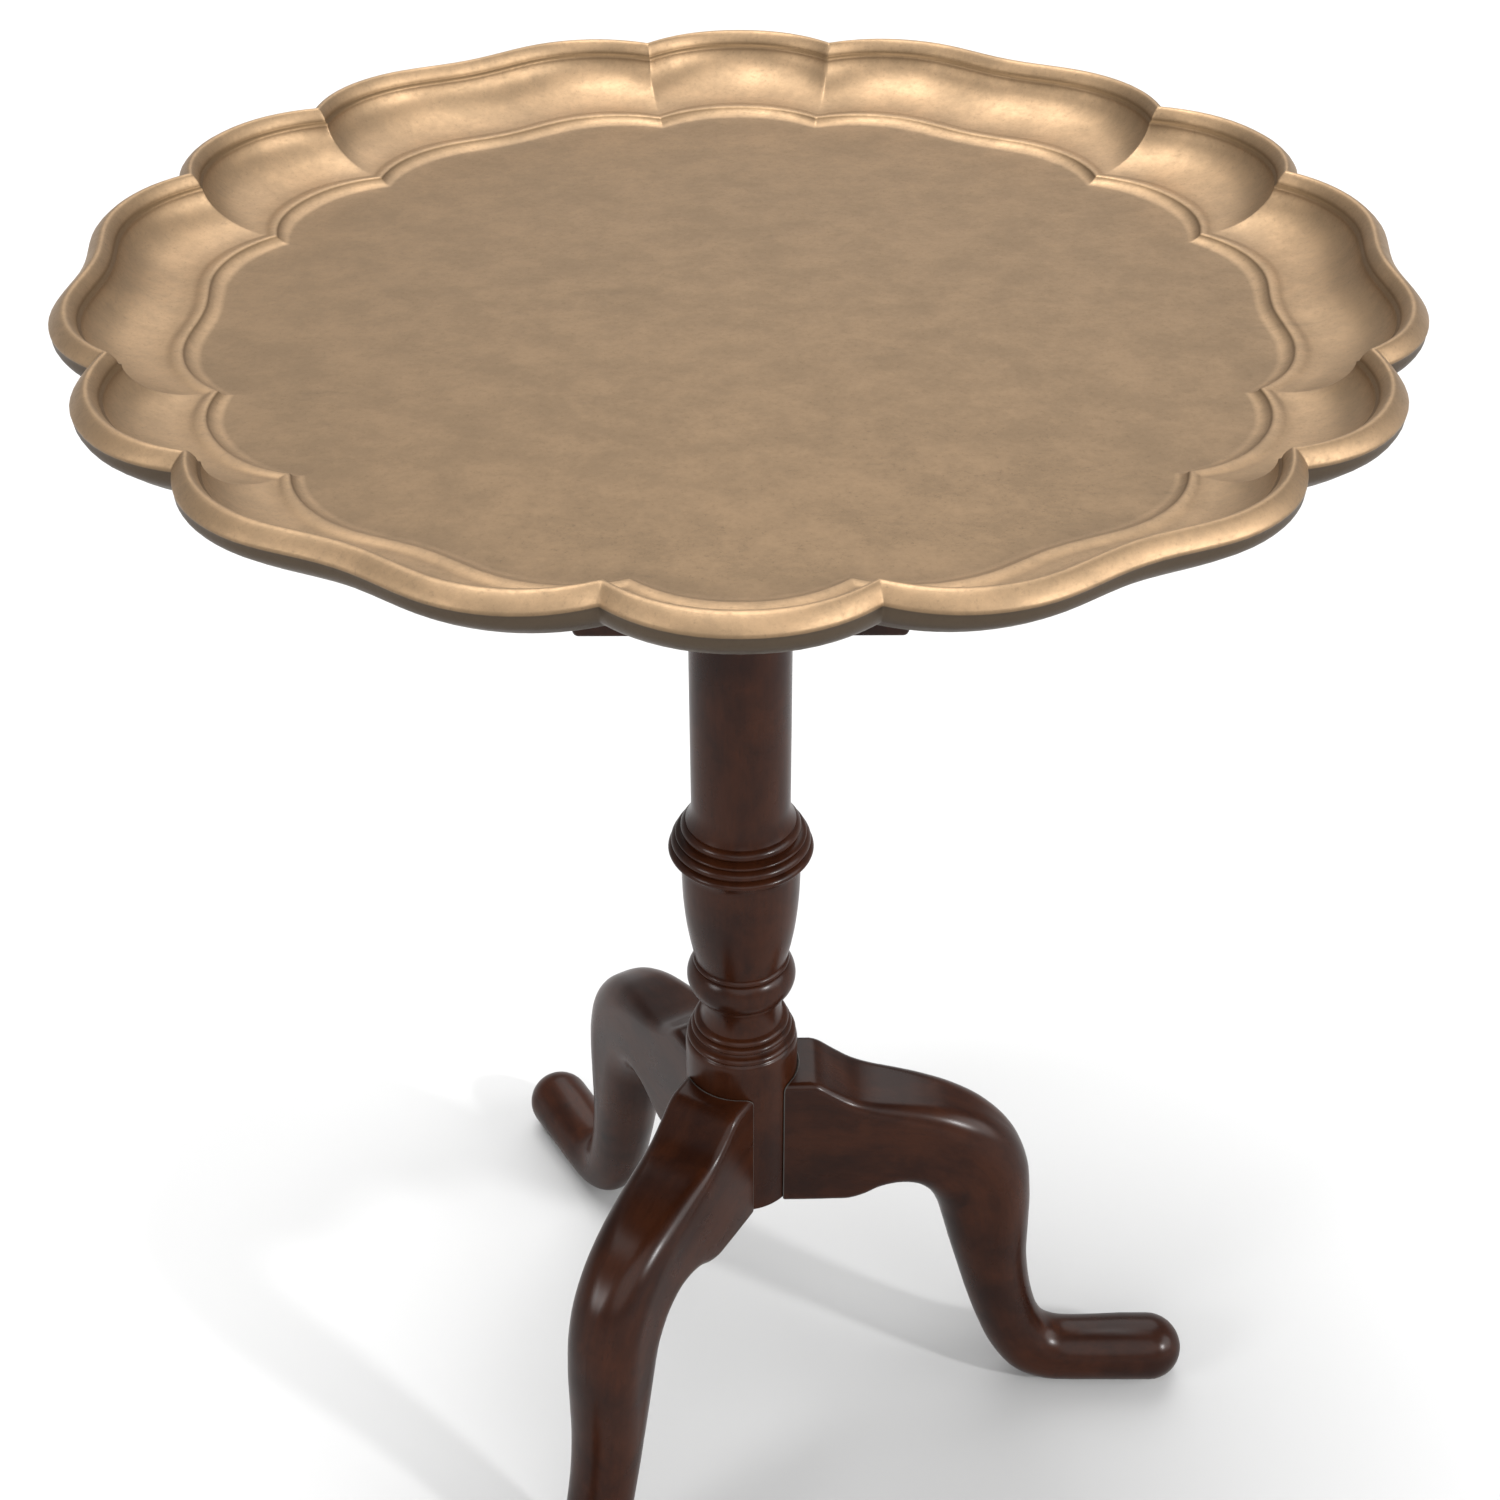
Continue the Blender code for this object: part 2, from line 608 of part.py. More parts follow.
def make_catch_case():
    """Brass case screwed under the cleat. The bolt slides in its channel, which the cleat closes."""
    low = (-17.0, CLEAT_YS[0] + 2.0, CASE_BOTTOM)
    high = (17.0, CLEAT_YS[1] - 2.0, CASE_TOP)
    case = add_part("catch_case", box_mesh("catch_case", low, high, 0.6), FITTING_BRASS)
    channel = box_mesh("channel", (-BOLT_HALF - GAP, BOLT_TAIL - 1.0, BOLT_ZS[0] - GAP),
                       (BOLT_HALF + GAP, CLEAT_YS[1] + 5.0, CASE_TOP + 3.0))
    slot = box_mesh("knob_slot", (-2.4, KNOB_Y - 2.6, CASE_BOTTOM - 1.0),
                    (2.4, KNOB_Y + CATCH_TRAVEL + 2.6, BOLT_ZS[0]))
    cut(case, add_cutter("channel", channel), add_cutter("knob_slot", slot))
    return case


def knob_profile(stem_top):
    """Stem, collar and ball of the catch's knob, from top to bottom."""
    collar_top = CASE_BOTTOM - 0.8
    profile = [(0.0, stem_top), (STEM_RADIUS, stem_top), (STEM_RADIUS, collar_top),
               (STEM_RADIUS + 1.4, collar_top), (STEM_RADIUS + 1.4, collar_top - 0.8)]
    for degrees in (35, 60, 90, 120, 150):
        angle = math.radians(degrees)
        profile.append((KNOB_RADIUS * math.sin(angle), KNOB_MIDDLE + KNOB_RADIUS * math.cos(angle)))
    return profile + [(0.0, KNOB_MIDDLE - KNOB_RADIUS)]


def make_bolt_and_knob():
    slide = bpy.data.objects.new("catch_slide", None)
    slide.location = Vector((0.0, KNOB_Y, sum(BOLT_ZS) / 2)) * MM
    PARTS.objects.link(slide)
    half_depth = (BOLT_ZS[1] - BOLT_ZS[0]) / 2
    tail = (-BOLT_HALF, BOLT_TAIL - KNOB_Y, -half_depth)
    nose = (BOLT_HALF, BOLT_NOSE - KNOB_Y, half_depth)
    bolt = add_part("catch_bolt", box_mesh("catch_bolt", tail, nose, 0.8), FITTING_BRASS)
    bolt.parent = slide
    stem_top = BOLT_ZS[1] - 1.6
    bore_start = (0, KNOB_Y, BOLT_ZS[0] - 2.0)
    bore = rod_mesh("stem_bore", bore_start, (0, 0, 1), stem_top + GAP - bore_start[2], STEM_RADIUS + GAP)
    cut(bolt, add_cutter("stem_bore", bore))
    mesh = turned_mesh("catch_knob", knob_profile(stem_top), 16)
    mesh.transform(Matrix.Translation((0, 0, -sum(BOLT_ZS) / 2 * MM)))
    knob = add_part("catch_knob", mesh, FITTING_BRASS)
    knob.parent = slide


def make_strike(block):
    """Plate let into the block's front face, with the mouth that the bolt enters."""
    low = (-STRIKE_HALF, BLOCK_FRONT, STRIKE_ZS[0])
    high = (STRIKE_HALF, BLOCK_FRONT + STRIKE_SHEET, STRIKE_ZS[1])
    plate = add_part("strike_plate", box_mesh("strike_plate", low, high), FITTING_BRASS)
    seat = box_mesh("strike_seat", (low[0] - GAP, low[1] - 1.0, low[2] - GAP),
                    (high[0] + GAP, high[1] + GAP, high[2] + GAP))
    mouth = box_mesh("strike_mouth", (-BOLT_HALF - 0.6, BLOCK_FRONT - 1.0, BOLT_ZS[0] - 0.6),
                     (BOLT_HALF + 0.6, BLOCK_FRONT + CATCH_TRAVEL + 1.0, BOLT_ZS[1] + 0.6))
    mouth = add_cutter("strike_mouth", mouth)
    cut(plate, mouth)
    cut(block, add_cutter("strike_seat", seat), mouth)
    for side, name in ((-1, "strike_screw_left"), (1, "strike_screw_right")):
        add_screw(name, SMALL_SCREW, (side * 12.0, BLOCK_FRONT, sum(BOLT_ZS) / 2), (0, -1, 0),
                  FITTING_BRASS, plate, block)


# ---------------------------------------------------------------- assembly

def fix_tray(tray, bearers):
    number = 0
    for side, bearer in zip((-1, 1), bearers):
        for y in BOSS_YS:
            number += 1
            place = (side * (BEARER_INNER + BEARER_OUTER) / 2, y, BEARER_BOTTOM)
            add_screw(f"tray_screw_{number}", TRAY_SCREW, place, (0, 0, -1), STEEL, bearer, tray)


def main():
    column = make_column()
    make_wedge()
    make_base_plate(column)
    make_legs()
    block = make_block()
    bores = [make_pivot(side, name, block) for side, name in ((-1, "pivot_pin_left"), (1, "pivot_pin_right"))]
    bearers = [make_bearer(side, name, bore)
               for side, name, bore in zip((-1, 1), ("bearer_left", "bearer_right"), bores)]
    tray = make_tray()
    fix_tray(tray, bearers)
    make_catch(bearers, block)


main()
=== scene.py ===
"""Looks of the brass tray table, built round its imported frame, in the frame's own metres.

The tray, its bosses, the pedestal, legs, block, bearers, cleat and wedge are made here as fine meshes on the
shapes of the solids that they stand for. The metal fittings and felt pads keep their solids, with eased edges.
Shapes are written in millimetres, and MM turns them into metres.
"""

import math

import bmesh
import bpy
import numpy as np
from mathutils import Matrix, Vector


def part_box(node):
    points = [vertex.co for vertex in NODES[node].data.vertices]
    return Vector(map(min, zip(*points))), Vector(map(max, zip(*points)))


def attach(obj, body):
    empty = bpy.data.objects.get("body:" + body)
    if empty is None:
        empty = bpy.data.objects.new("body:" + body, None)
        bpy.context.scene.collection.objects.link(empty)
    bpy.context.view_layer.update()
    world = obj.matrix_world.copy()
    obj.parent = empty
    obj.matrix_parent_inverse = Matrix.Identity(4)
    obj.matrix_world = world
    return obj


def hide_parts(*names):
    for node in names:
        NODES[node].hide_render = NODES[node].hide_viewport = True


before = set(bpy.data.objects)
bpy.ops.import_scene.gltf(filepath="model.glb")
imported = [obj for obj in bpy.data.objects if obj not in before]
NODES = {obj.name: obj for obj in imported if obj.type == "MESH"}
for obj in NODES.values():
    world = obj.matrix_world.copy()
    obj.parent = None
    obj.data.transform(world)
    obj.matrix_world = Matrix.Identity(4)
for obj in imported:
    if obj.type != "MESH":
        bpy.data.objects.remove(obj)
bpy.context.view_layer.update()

MM = 0.001
GAP = 0.3                       # clearance between pieces that fit into each other
SHARP = 38.0                    # edges that turn by more degrees than this stay crisp


def millimetres(name):
    """A node's box as two corners in millimetres."""
    low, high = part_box(name)
    return low / MM, high / MM


COLUMN_LOW, COLUMN_HIGH = millimetres("column")
BLOCK_LOW, BLOCK_HIGH = millimetres("top_block")
CLEAT_LOW, CLEAT_HIGH = millimetres("catch_cleat")
PIVOT_LOW, PIVOT_HIGH = millimetres("pivot_pin_left")
PAD_LOW, PAD_HIGH = millimetres("foot_pad_1")


# ---------------------------------------------------------------- node trees

def node(tree, kind, settings=None, **inputs):
    """Adds a shader node. An input is a value, or the socket that feeds it.

    Spaces in an input's name are written as underscores, and _0 or _1 is an input's number.
    """
    made = tree.nodes.new("ShaderNode" + kind)
    for name, value in (settings or {}).items():
        setattr(made, name, value)
    for name, value in inputs.items():
        socket = made.inputs[int(name[1:])] if name[1:].isdigit() else made.inputs[name.replace("_", " ")]
        if isinstance(value, bpy.types.NodeSocket):
            tree.links.new(value, socket)
        else:
            socket.default_value = value
    return made


def start_material(name, **uniform):
    """A material, its node tree and its shader. Uniform values go straight on the shader's own sockets."""
    made = bpy.data.materials.new(name)
    made.use_nodes = True
    tree = made.node_tree
    shader = tree.nodes["Principled BSDF"]
    for socket, value in uniform.items():
        shader.inputs[socket.replace("_", " ")].default_value = value
    return made, tree, shader


def stretched(tree, vector, scale, place=(0, 0, 0)):
    """A pattern's coordinates. A scale under 1 draws the pattern out along that axis."""
    return node(tree, "Mapping", Vector=vector, Scale=scale, Location=place).outputs[0]


def noise(tree, vector, scale, detail=4.0, roughness=0.55, distortion=0.0):
    made = node(tree, "TexNoise", Vector=vector, Scale=scale, Detail=detail, Roughness=roughness,
                Distortion=distortion)
    return made.outputs["Fac"]


def remap(tree, value, low, high, to_low=0.0, to_high=1.0):
    """Takes the range from low to high smoothly to another range, and holds its ends outside."""
    made = node(tree, "MapRange", {"interpolation_type": "SMOOTHSTEP"}, Value=value, From_Min=low,
                From_Max=high, To_Min=to_low, To_Max=to_high)
    return made.outputs[0]


def mix_colour(tree, share, first, second):
    """The first colour at share 0, the second at share 1. Each of the three is a value or a socket."""
    made = tree.nodes.new("ShaderNodeMix")
    made.data_type = "RGBA"
    for socket, value in zip((made.inputs[0], made.inputs[6], made.inputs[7]), (share, first, second)):
        if isinstance(value, bpy.types.NodeSocket):
            tree.links.new(value, socket)
        elif isinstance(value, tuple):
            socket.default_value = (*value, 1.0)
        else:
            socket.default_value = value
    return made.outputs[2]


def stained(tree, colour, pattern, low, high, most, stain):
    """Lays a stain over a colour as the pattern rises from low to high, up to the share most."""
    return mix_colour(tree, remap(tree, pattern, low, high, 0.0, most), colour, stain)


def maths(tree, operation, first, second):
    return node(tree, "Math", {"operation": operation}, _0=first, _1=second).outputs[0]


def painted(tree, name, output="Fac"):
    """A value that the mesh carries for each vertex."""
    return node(tree, "Attribute", {"attribute_name": name}).outputs[output]


def bump(tree, shader, layers):
    """Stacks bumps, each a (height, strength, distance in metres)."""
    normal = None
    for height, strength, distance in layers:
        step = node(tree, "Bump", Height=height, Strength=strength, Distance=distance)
        if normal:
            tree.links.new(normal, step.inputs["Normal"])
        normal = step.outputs[0]
    tree.links.new(normal, shader.inputs["Normal"])


def feed(tree, shader, **sockets):
    """Links sockets into the shader's inputs."""
    for name, value in sockets.items():
        tree.links.new(value, shader.inputs[name.replace("_", " ")])


# ---------------------------------------------------------------- materials

def tray_brass():
    """Old brass with a brown cloudy patina, drawn out across the tray.

    It is painted browner in the creases, partly patina and partly painted shade; painted dark on the outer wall,
    as painted shade for its dim reflection of the floor; and painted darker on the flat floor, as painted shade.
    """
    clean = (0.282, 0.190, 0.111)
    aged = (0.220, 0.151, 0.090)
    dark = (0.090, 0.068, 0.047)
    # crease tone: partly patina, partly painted shade standing in for occlusion in the creases
    crease_patina_and_shade_tone = (0.092, 0.054, 0.025)
    # painted shade: the outer wall made dark in place of its dim reflection of the floor below
    wall_painted_shade_tone = (0.078, 0.060, 0.044)
    # painted shade: the flat floor made darker to match its dimmer reflection
    floor_painted_shade_tone = (0.0, 0.0, 0.0)
    made, tree, shader = start_material("tray_brass_patina", Metallic=1.0)
    place = node(tree, "TexCoord").outputs["Object"]
    cloud = noise(tree, stretched(tree, place, (0.82, 1.0, 1.0)), 54.0, 12.0, 0.80, 0.15)
    wisps = noise(tree, stretched(tree, place, (0.50, 1.3, 1.0), (3.1, 1.7, 0.4)), 48.0, 9.0, 0.74, 0.5)
    grit = noise(tree, place, 620.0, 3.0, 0.7)
    colour = mix_colour(tree, remap(tree, cloud, 0.36, 0.66), aged, clean)
    colour = stained(tree, colour, wisps, 0.58, 0.80, 0.50, dark)
    colour = stained(tree, colour, grit, 0.56, 0.76, 0.32, dark)
    # crease darkening (patina and painted shade), painted shade on the outer wall, painted shade on the flat
    # floor
    marks = (("crease_patina_and_shade", 0.78, crease_patina_and_shade_tone), ("outer_wall_painted_shade", 0.93, wall_painted_shade_tone), ("floor_painted_shade", 0.31, floor_painted_shade_tone))
    for name, most, tone in marks:
        colour = mix_colour(tree, maths(tree, "MULTIPLY", painted(tree, name), most), colour, tone)
    duller = remap(tree, cloud, 0.3, 0.7, 0.06, 0.0)
    rough = maths(tree, "ADD", duller, remap(tree, grit, 0.3, 0.8, 0.46, 0.53))
    feed(tree, shader, Base_Color=colour, Roughness=rough)
    bump(tree, shader, [(cloud, 0.10, 0.0010), (grit, 0.05, 0.0002)])
    return made


def fitting_brass():
    """Handled brass of the catch, cloudy and finely scratched along its length."""
    made, tree, shader = start_material("fitting_brass_worn", Metallic=1.0)
    place = node(tree, "TexCoord").outputs["Object"]
    cloud = noise(tree, place, 90.0, 6.0, 0.6)
    scratch = noise(tree, stretched(tree, place, (1.0, 14.0, 1.0)), 260.0, 3.0)
    colour = mix_colour(tree, remap(tree, cloud, 0.35, 0.65), (0.36, 0.23, 0.10), (0.62, 0.43, 0.20))
    feed(tree, shader, Base_Color=colour, Roughness=remap(tree, scratch, 0.3, 0.7, 0.24, 0.42))
    bump(tree, shader, [(scratch, 0.12, 0.0002)])
    return made


def dark_steel():
    """Screws, pins and the base plate: steel gone dull and dark in clouds, with fine pits."""
    made, tree, shader = start_material("dark_steel", Metallic=1.0)
    place = node(tree, "TexCoord").outputs["Object"]
    cloud = noise(tree, place, 140.0, 6.0, 0.65)
    pits = noise(tree, place, 900.0, 2.0)
    colour = mix_colour(tree, remap(tree, cloud, 0.35, 0.65), (0.20, 0.17, 0.15), (0.42, 0.41, 0.40))
    feed(tree, shader, Base_Color=colour, Roughness=remap(tree, cloud, 0.3, 0.7, 0.48, 0.30))
    bump(tree, shader, [(cloud, 0.15, 0.0003), (pits, 0.15, 0.0001)])
    return made


def felt():
    """Dark green felt under the toes."""
    made, tree, shader = start_material("pad_felt", Roughness=0.95, Sheen_Weight=0.5, Sheen_Roughness=0.6)
    place = node(tree, "TexCoord").outputs["Object"]
    fibre = noise(tree, place, 1500.0, 6.0, 0.8, 1.2)
    colour = mix_colour(tree, remap(tree, fibre, 0.3, 0.7), (0.020, 0.026, 0.020), (0.075, 0.090, 0.070))
    feed(tree, shader, Base_Color=colour)
    bump(tree, shader, [(fibre, 0.6, 0.0004)])
    return made


def mahogany():
    """Dark stained mahogany under varnish, with a pale painted highlight where the edge attribute is 1.

    The grain attribute holds (along the grain, across, across).
    """
    deep = (0.0135, 0.0036, 0.0015)
    warm = (0.0310, 0.0085, 0.0030)
    fibre_tone = (0.0045, 0.0018, 0.0012)
    mottle_tone = (0.0030, 0.0016, 0.0013)
    pore_tone = (0.003, 0.0016, 0.0014)
    # pale grey of the painted highlight on the rounded edge of each leg's end
    edge_highlight_tone = (0.064, 0.058, 0.053)
    made, tree, shader = start_material("varnished_mahogany", Coat_Weight=0.29, Coat_Roughness=0.26,
                                        Coat_IOR=1.50, Specular_IOR_Level=0.02)
    grain = painted(tree, "grain", "Vector")
    figure = noise(tree, stretched(tree, grain, (0.65, 1.0, 1.0)), 38.0, 7.0, 0.62, 0.3)
    mottle = noise(tree, stretched(tree, grain, (0.8, 1.0, 1.0), (1.3, 0.7, 2.1)), 46.0, 7.0, 0.68, 0.3)
    fibre = noise(tree, stretched(tree, grain, (0.08, 1.0, 1.0)), 420.0, 5.0, 0.6, 0.3)
    pores = noise(tree, stretched(tree, grain, (0.12, 1.0, 1.0), (0.2, 3.1, 0.9)), 1100.0, 2.0, 0.5)
    colour = mix_colour(tree, remap(tree, figure, 0.32, 0.70), deep, warm)
    colour = stained(tree, colour, fibre, 0.35, 0.70, 0.16, fibre_tone)
    colour = stained(tree, colour, mottle, 0.55, 0.76, 0.55, mottle_tone)
    colour = stained(tree, colour, pores, 0.64, 0.74, 0.35, pore_tone)
    # a painted highlight along the rounded edge of each leg's hollow end
    colour = mix_colour(tree, painted(tree, "edge"), colour, edge_highlight_tone)
    feed(tree, shader, Base_Color=colour, Roughness=remap(tree, mottle, 0.3, 0.7, 0.26, 0.34))
    bump(tree, shader, [(fibre, 0.05, 0.0003), (figure, 0.06, 0.0008)])
    return made


def floor_material():
    """Matt pale floor, very slightly uneven in tone."""
    made, tree, shader = start_material("pale_floor", Roughness=0.75, Specular_IOR_Level=0.15)
    place = node(tree, "TexCoord").outputs["Object"]
    cloud = noise(tree, place, 1.2, 3.0)
    colour = mix_colour(tree, cloud, (0.404, 0.404, 0.404), (0.416, 0.416, 0.416))
    feed(tree, shader, Base_Color=colour)
    return made


TRAY_BRASS = tray_brass()
FITTING_BRASS = fitting_brass()
STEEL = dark_steel()
FELT = felt()
MAHOGANY = mahogany()


# ---------------------------------------------------------------- mesh helpers

WELD_REACH = 0.00001            # metres
EASE_SEGMENTS = 3
EASE_ANGLE = 40.0               # only edges that turn by more degrees than this are rounded


def object_from(name, mesh, finish=None):
    if finish:
        mesh.materials.clear()
        mesh.materials.append(finish)
    obj = bpy.data.objects.new(name, mesh)
    bpy.context.scene.collection.objects.link(obj)
    return obj


def mesh_from(name, shape, sharp=SHARP):
    """A smooth-shaded mesh from a bmesh, crisp at edges that turn by more than sharp degrees."""
    bmesh.ops.recalc_face_normals(shape, faces=shape.faces)
    mesh = bpy.data.meshes.new(name)
    shape.to_mesh(mesh)
    shape.free()
    mesh.shade_smooth()
    mesh.set_sharp_from_angle(angle=math.radians(sharp))
    return mesh


def baked(obj):
    """The object's mesh with its modifiers applied. The object itself is removed."""
    graph = bpy.context.evaluated_depsgraph_get()
    mesh = bpy.data.meshes.new_from_object(obj.evaluated_get(graph))
    mesh.name = obj.name
    bpy.data.objects.remove(obj, do_unlink=True)
    mesh.shade_smooth()
    mesh.set_sharp_from_angle(angle=math.radians(SHARP))
    return mesh


def carved(mesh, steps):
    """A mesh after a list of ("DIFFERENCE" or "UNION", other mesh) steps."""
    blank = object_from(mesh.name, mesh)
    tools = []
    for operation, other in steps:
        tools.append(object_from("tool", other))
        step = blank.modifiers.new("Carve", "BOOLEAN")
        step.operation = operation
        step.solver = "EXACT"
        step.object = tools[-1]
    result = baked(blank)
    for tool in tools:
        bpy.data.objects.remove(tool, do_unlink=True)
    return result


def loft(name, rings, start, end, sharp=SHARP, cap=None):
    """A closed skin over rings of points in millimetres.

    Each end runs to a point as a fan. An end whose point is None is closed by cap instead.
    """
    shape = bmesh.new()
    rows = [[shape.verts.new(Vector(point) * MM) for point in ring] for ring in rings]
    count = len(rows[0])
    for row, following in zip(rows, rows[1:]):
        for i in range(count):
            j = (i + 1) % count
            shape.faces.new((row[i], row[j], following[j], following[i]))
    for row, tip in ((rows[0], start), (rows[-1], end)):
        if tip is None:
            cap(shape, row)
            continue
        centre = shape.verts.new(Vector(tip) * MM)
        for i in range(count):
            shape.faces.new((row[i], row[(i + 1) % count], centre))
    return mesh_from(name, shape, sharp)


def turned(name, profile, steps=96):
    """A closed turning about Z. The profile holds (radius, height) in millimetres, on the axis at both ends."""
    rings = []
    for radius, height in profile[1:-1]:
        ring = []
        for i in range(steps):
            angle = 2 * math.pi * i / steps
            ring.append((radius * math.cos(angle), radius * math.sin(angle), height))
        rings.append(ring)
    return loft(name, rings, (0, 0, profile[0][1]), (0, 0, profile[-1][1]))


def rod(start, axis, length, radius, sides=48):
    """A round bar from a point in millimetres, along an axis."""
    shape = bmesh.new()
    bmesh.ops.create_cone(shape, cap_ends=True, segments=sides, radius1=radius * MM, radius2=radius * MM,
                          depth=length * MM)
    bmesh.ops.translate(shape, vec=(0, 0, length * MM / 2), verts=shape.verts)
    aim = Vector((0, 0, 1)).rotation_difference(Vector(axis)).to_matrix().to_4x4()
    bmesh.ops.transform(shape, matrix=Matrix.Translation(Vector(start) * MM) @ aim, verts=shape.verts)
    return mesh_from("rod", shape)


def box(name, low, high, edge=0.0, segments=4):
    """A box between two corners in millimetres, its edges rounded over by edge."""
    shape = bmesh.new()
    bmesh.ops.create_cube(shape, size=1.0)
    size = [h - l for l, h in zip(low, high)]
    middle = [(h + l) / 2 for l, h in zip(low, high)]
    bmesh.ops.scale(shape, vec=Vector(size) * MM, verts=shape.verts)
    bmesh.ops.translate(shape, vec=Vector(middle) * MM, verts=shape.verts)
    if edge:
        bmesh.ops.bevel(shape, geom=shape.edges[:], offset=edge * MM, segments=segments, profile=0.5,
                        affect="EDGES")
    return mesh_from(name, shape)


def prism(name, outline, low, high):
    """A flat outline of (x, y) points in millimetres, made solid between two heights."""
    shape = bmesh.new()
    lower = [shape.verts.new((x * MM, y * MM, low * MM)) for x, y in outline]
    upper = [shape.verts.new((x * MM, y * MM, high * MM)) for x, y in outline]
    shape.faces.new(lower)
    shape.faces.new(upper)
    for i in range(len(outline)):
        j = (i + 1) % len(outline)
        shape.faces.new((lower[i], lower[j], upper[j], upper[i]))
    return mesh_from(name, shape)


def ease_edges(obj, width):
    """Rounds over the edges of an object, with the flat faces kept flat."""
    weld = obj.modifiers.new("Weld", "WELD")
    weld.merge_threshold = WELD_REACH
    ease = obj.modifiers.new("Ease", "BEVEL")
    ease.width = width * MM
    ease.segments = EASE_SEGMENTS
    ease.limit_method = "ANGLE"
    ease.angle_limit = math.radians(EASE_ANGLE)
    ease.harden_normals = True


def smooth_run(points, spacing, measured=2):
    """Points along a smooth curve through these ones, about spacing apart over the measured coordinates."""
    rows = np.array(points, float)
    rows = np.vstack([2 * rows[0] - rows[1], rows, 2 * rows[-1] - rows[-2]])
    steps = np.linalg.norm(np.diff(rows[:, :measured], axis=0), axis=1)
    knots = np.concatenate([[0.0], np.cumsum(np.sqrt(np.maximum(steps, 1e-6)))])
    found = []
    for i in range(1, len(rows) - 2):
        count = max(1, round(steps[i] / spacing))
        for k in range(count):
            found.append(spline_point(rows[i - 1:i + 3], knots[i - 1:i + 3], k / count))
    found.append(rows[-2])
    return [tuple(float(x) for x in row) for row in found]


def spline_point(p, t, share):
    """A point of the centripetal curve between p[1] and p[2]."""
    at = t[1] + (t[2] - t[1]) * share

    def between(first, second, start, end):
        return ((end - at) * first + (at - start) * second) / (end - start)

    near = [between(p[i], p[i + 1], t[i], t[i + 1]) for i in range(3)]
    nearer = [between(near[i], near[i + 1], t[i], t[i + 2]) for i in range(2)]
    return between(nearer[0], nearer[1], t[1], t[2])


def vertex_points(mesh):
    """The mesh's vertices as rows of metres."""
    points = np.zeros(len(mesh.vertices) * 3)
    mesh.vertices.foreach_get("co", points)
    return points.reshape(-1, 3)


def set_grain(mesh, along, offset=0.0):
    """Stores (along the grain, across, across) for each vertex. along turns points in metres into those."""
    grain = along(vertex_points(mesh)) + offset
    attribute = mesh.attributes.new("grain", "FLOAT_VECTOR", "POINT")
    attribute.data.foreach_set("vector", grain.astype(np.float32).ravel())


def set_edge_highlight(mesh, is_edge):
    """Marks the vertices for which is_edge, given their points in millimetres, holds, for the pale painted
    highlight.
    """
    attribute = mesh.attributes.new("edge", "FLOAT", "POINT")
    attribute.data.foreach_set("value", is_edge(vertex_points(mesh) / MM).astype(np.float32))


def along_z(points):
    return points[:, [2, 0, 1]]


def along_y(points):
    return points[:, [1, 0, 2]]


def along_x(points):
    return points


# ---------------------------------------------------------------- tray

FLOOR_TOP = 634.6
FLOOR_UNDER = 631.6
FLOOR_SHARE = 0.85              # share of the scallop that the floor's edge follows
FLOOR_RADII = (30.0, 80.0, 130.0, 170.0, 190.0)
UNDERSIDE_RADII = (200.0, 170.0, 120.0, 60.0)
LOBE_PITCH = 60.0               # degrees from one narrow lobe to the next
NARROW_HALF = 10.1              # degrees from a narrow lobe's middle to its cusps
NARROW_SWELL = 0.0585           # how far the lobes stand out, as shares of the radius at the cusps
WIDE_SWELL = 0.0545
WIDE_TROUGH = 0.0290
LOBE_POWER = 2.2
NARROW_STEPS = 22
WIDE_STEPS = 44
CUSP_SOFTNESS = 0.0011          # rounding of the ridge at each cusp, as a share of the radius
SECTION_SPACING = 1.3
BOSS_RADIUS = 6.0
BOSS_BOTTOM = 624.6
BOSS_YS = (-165.0, -20.0, 155.0)

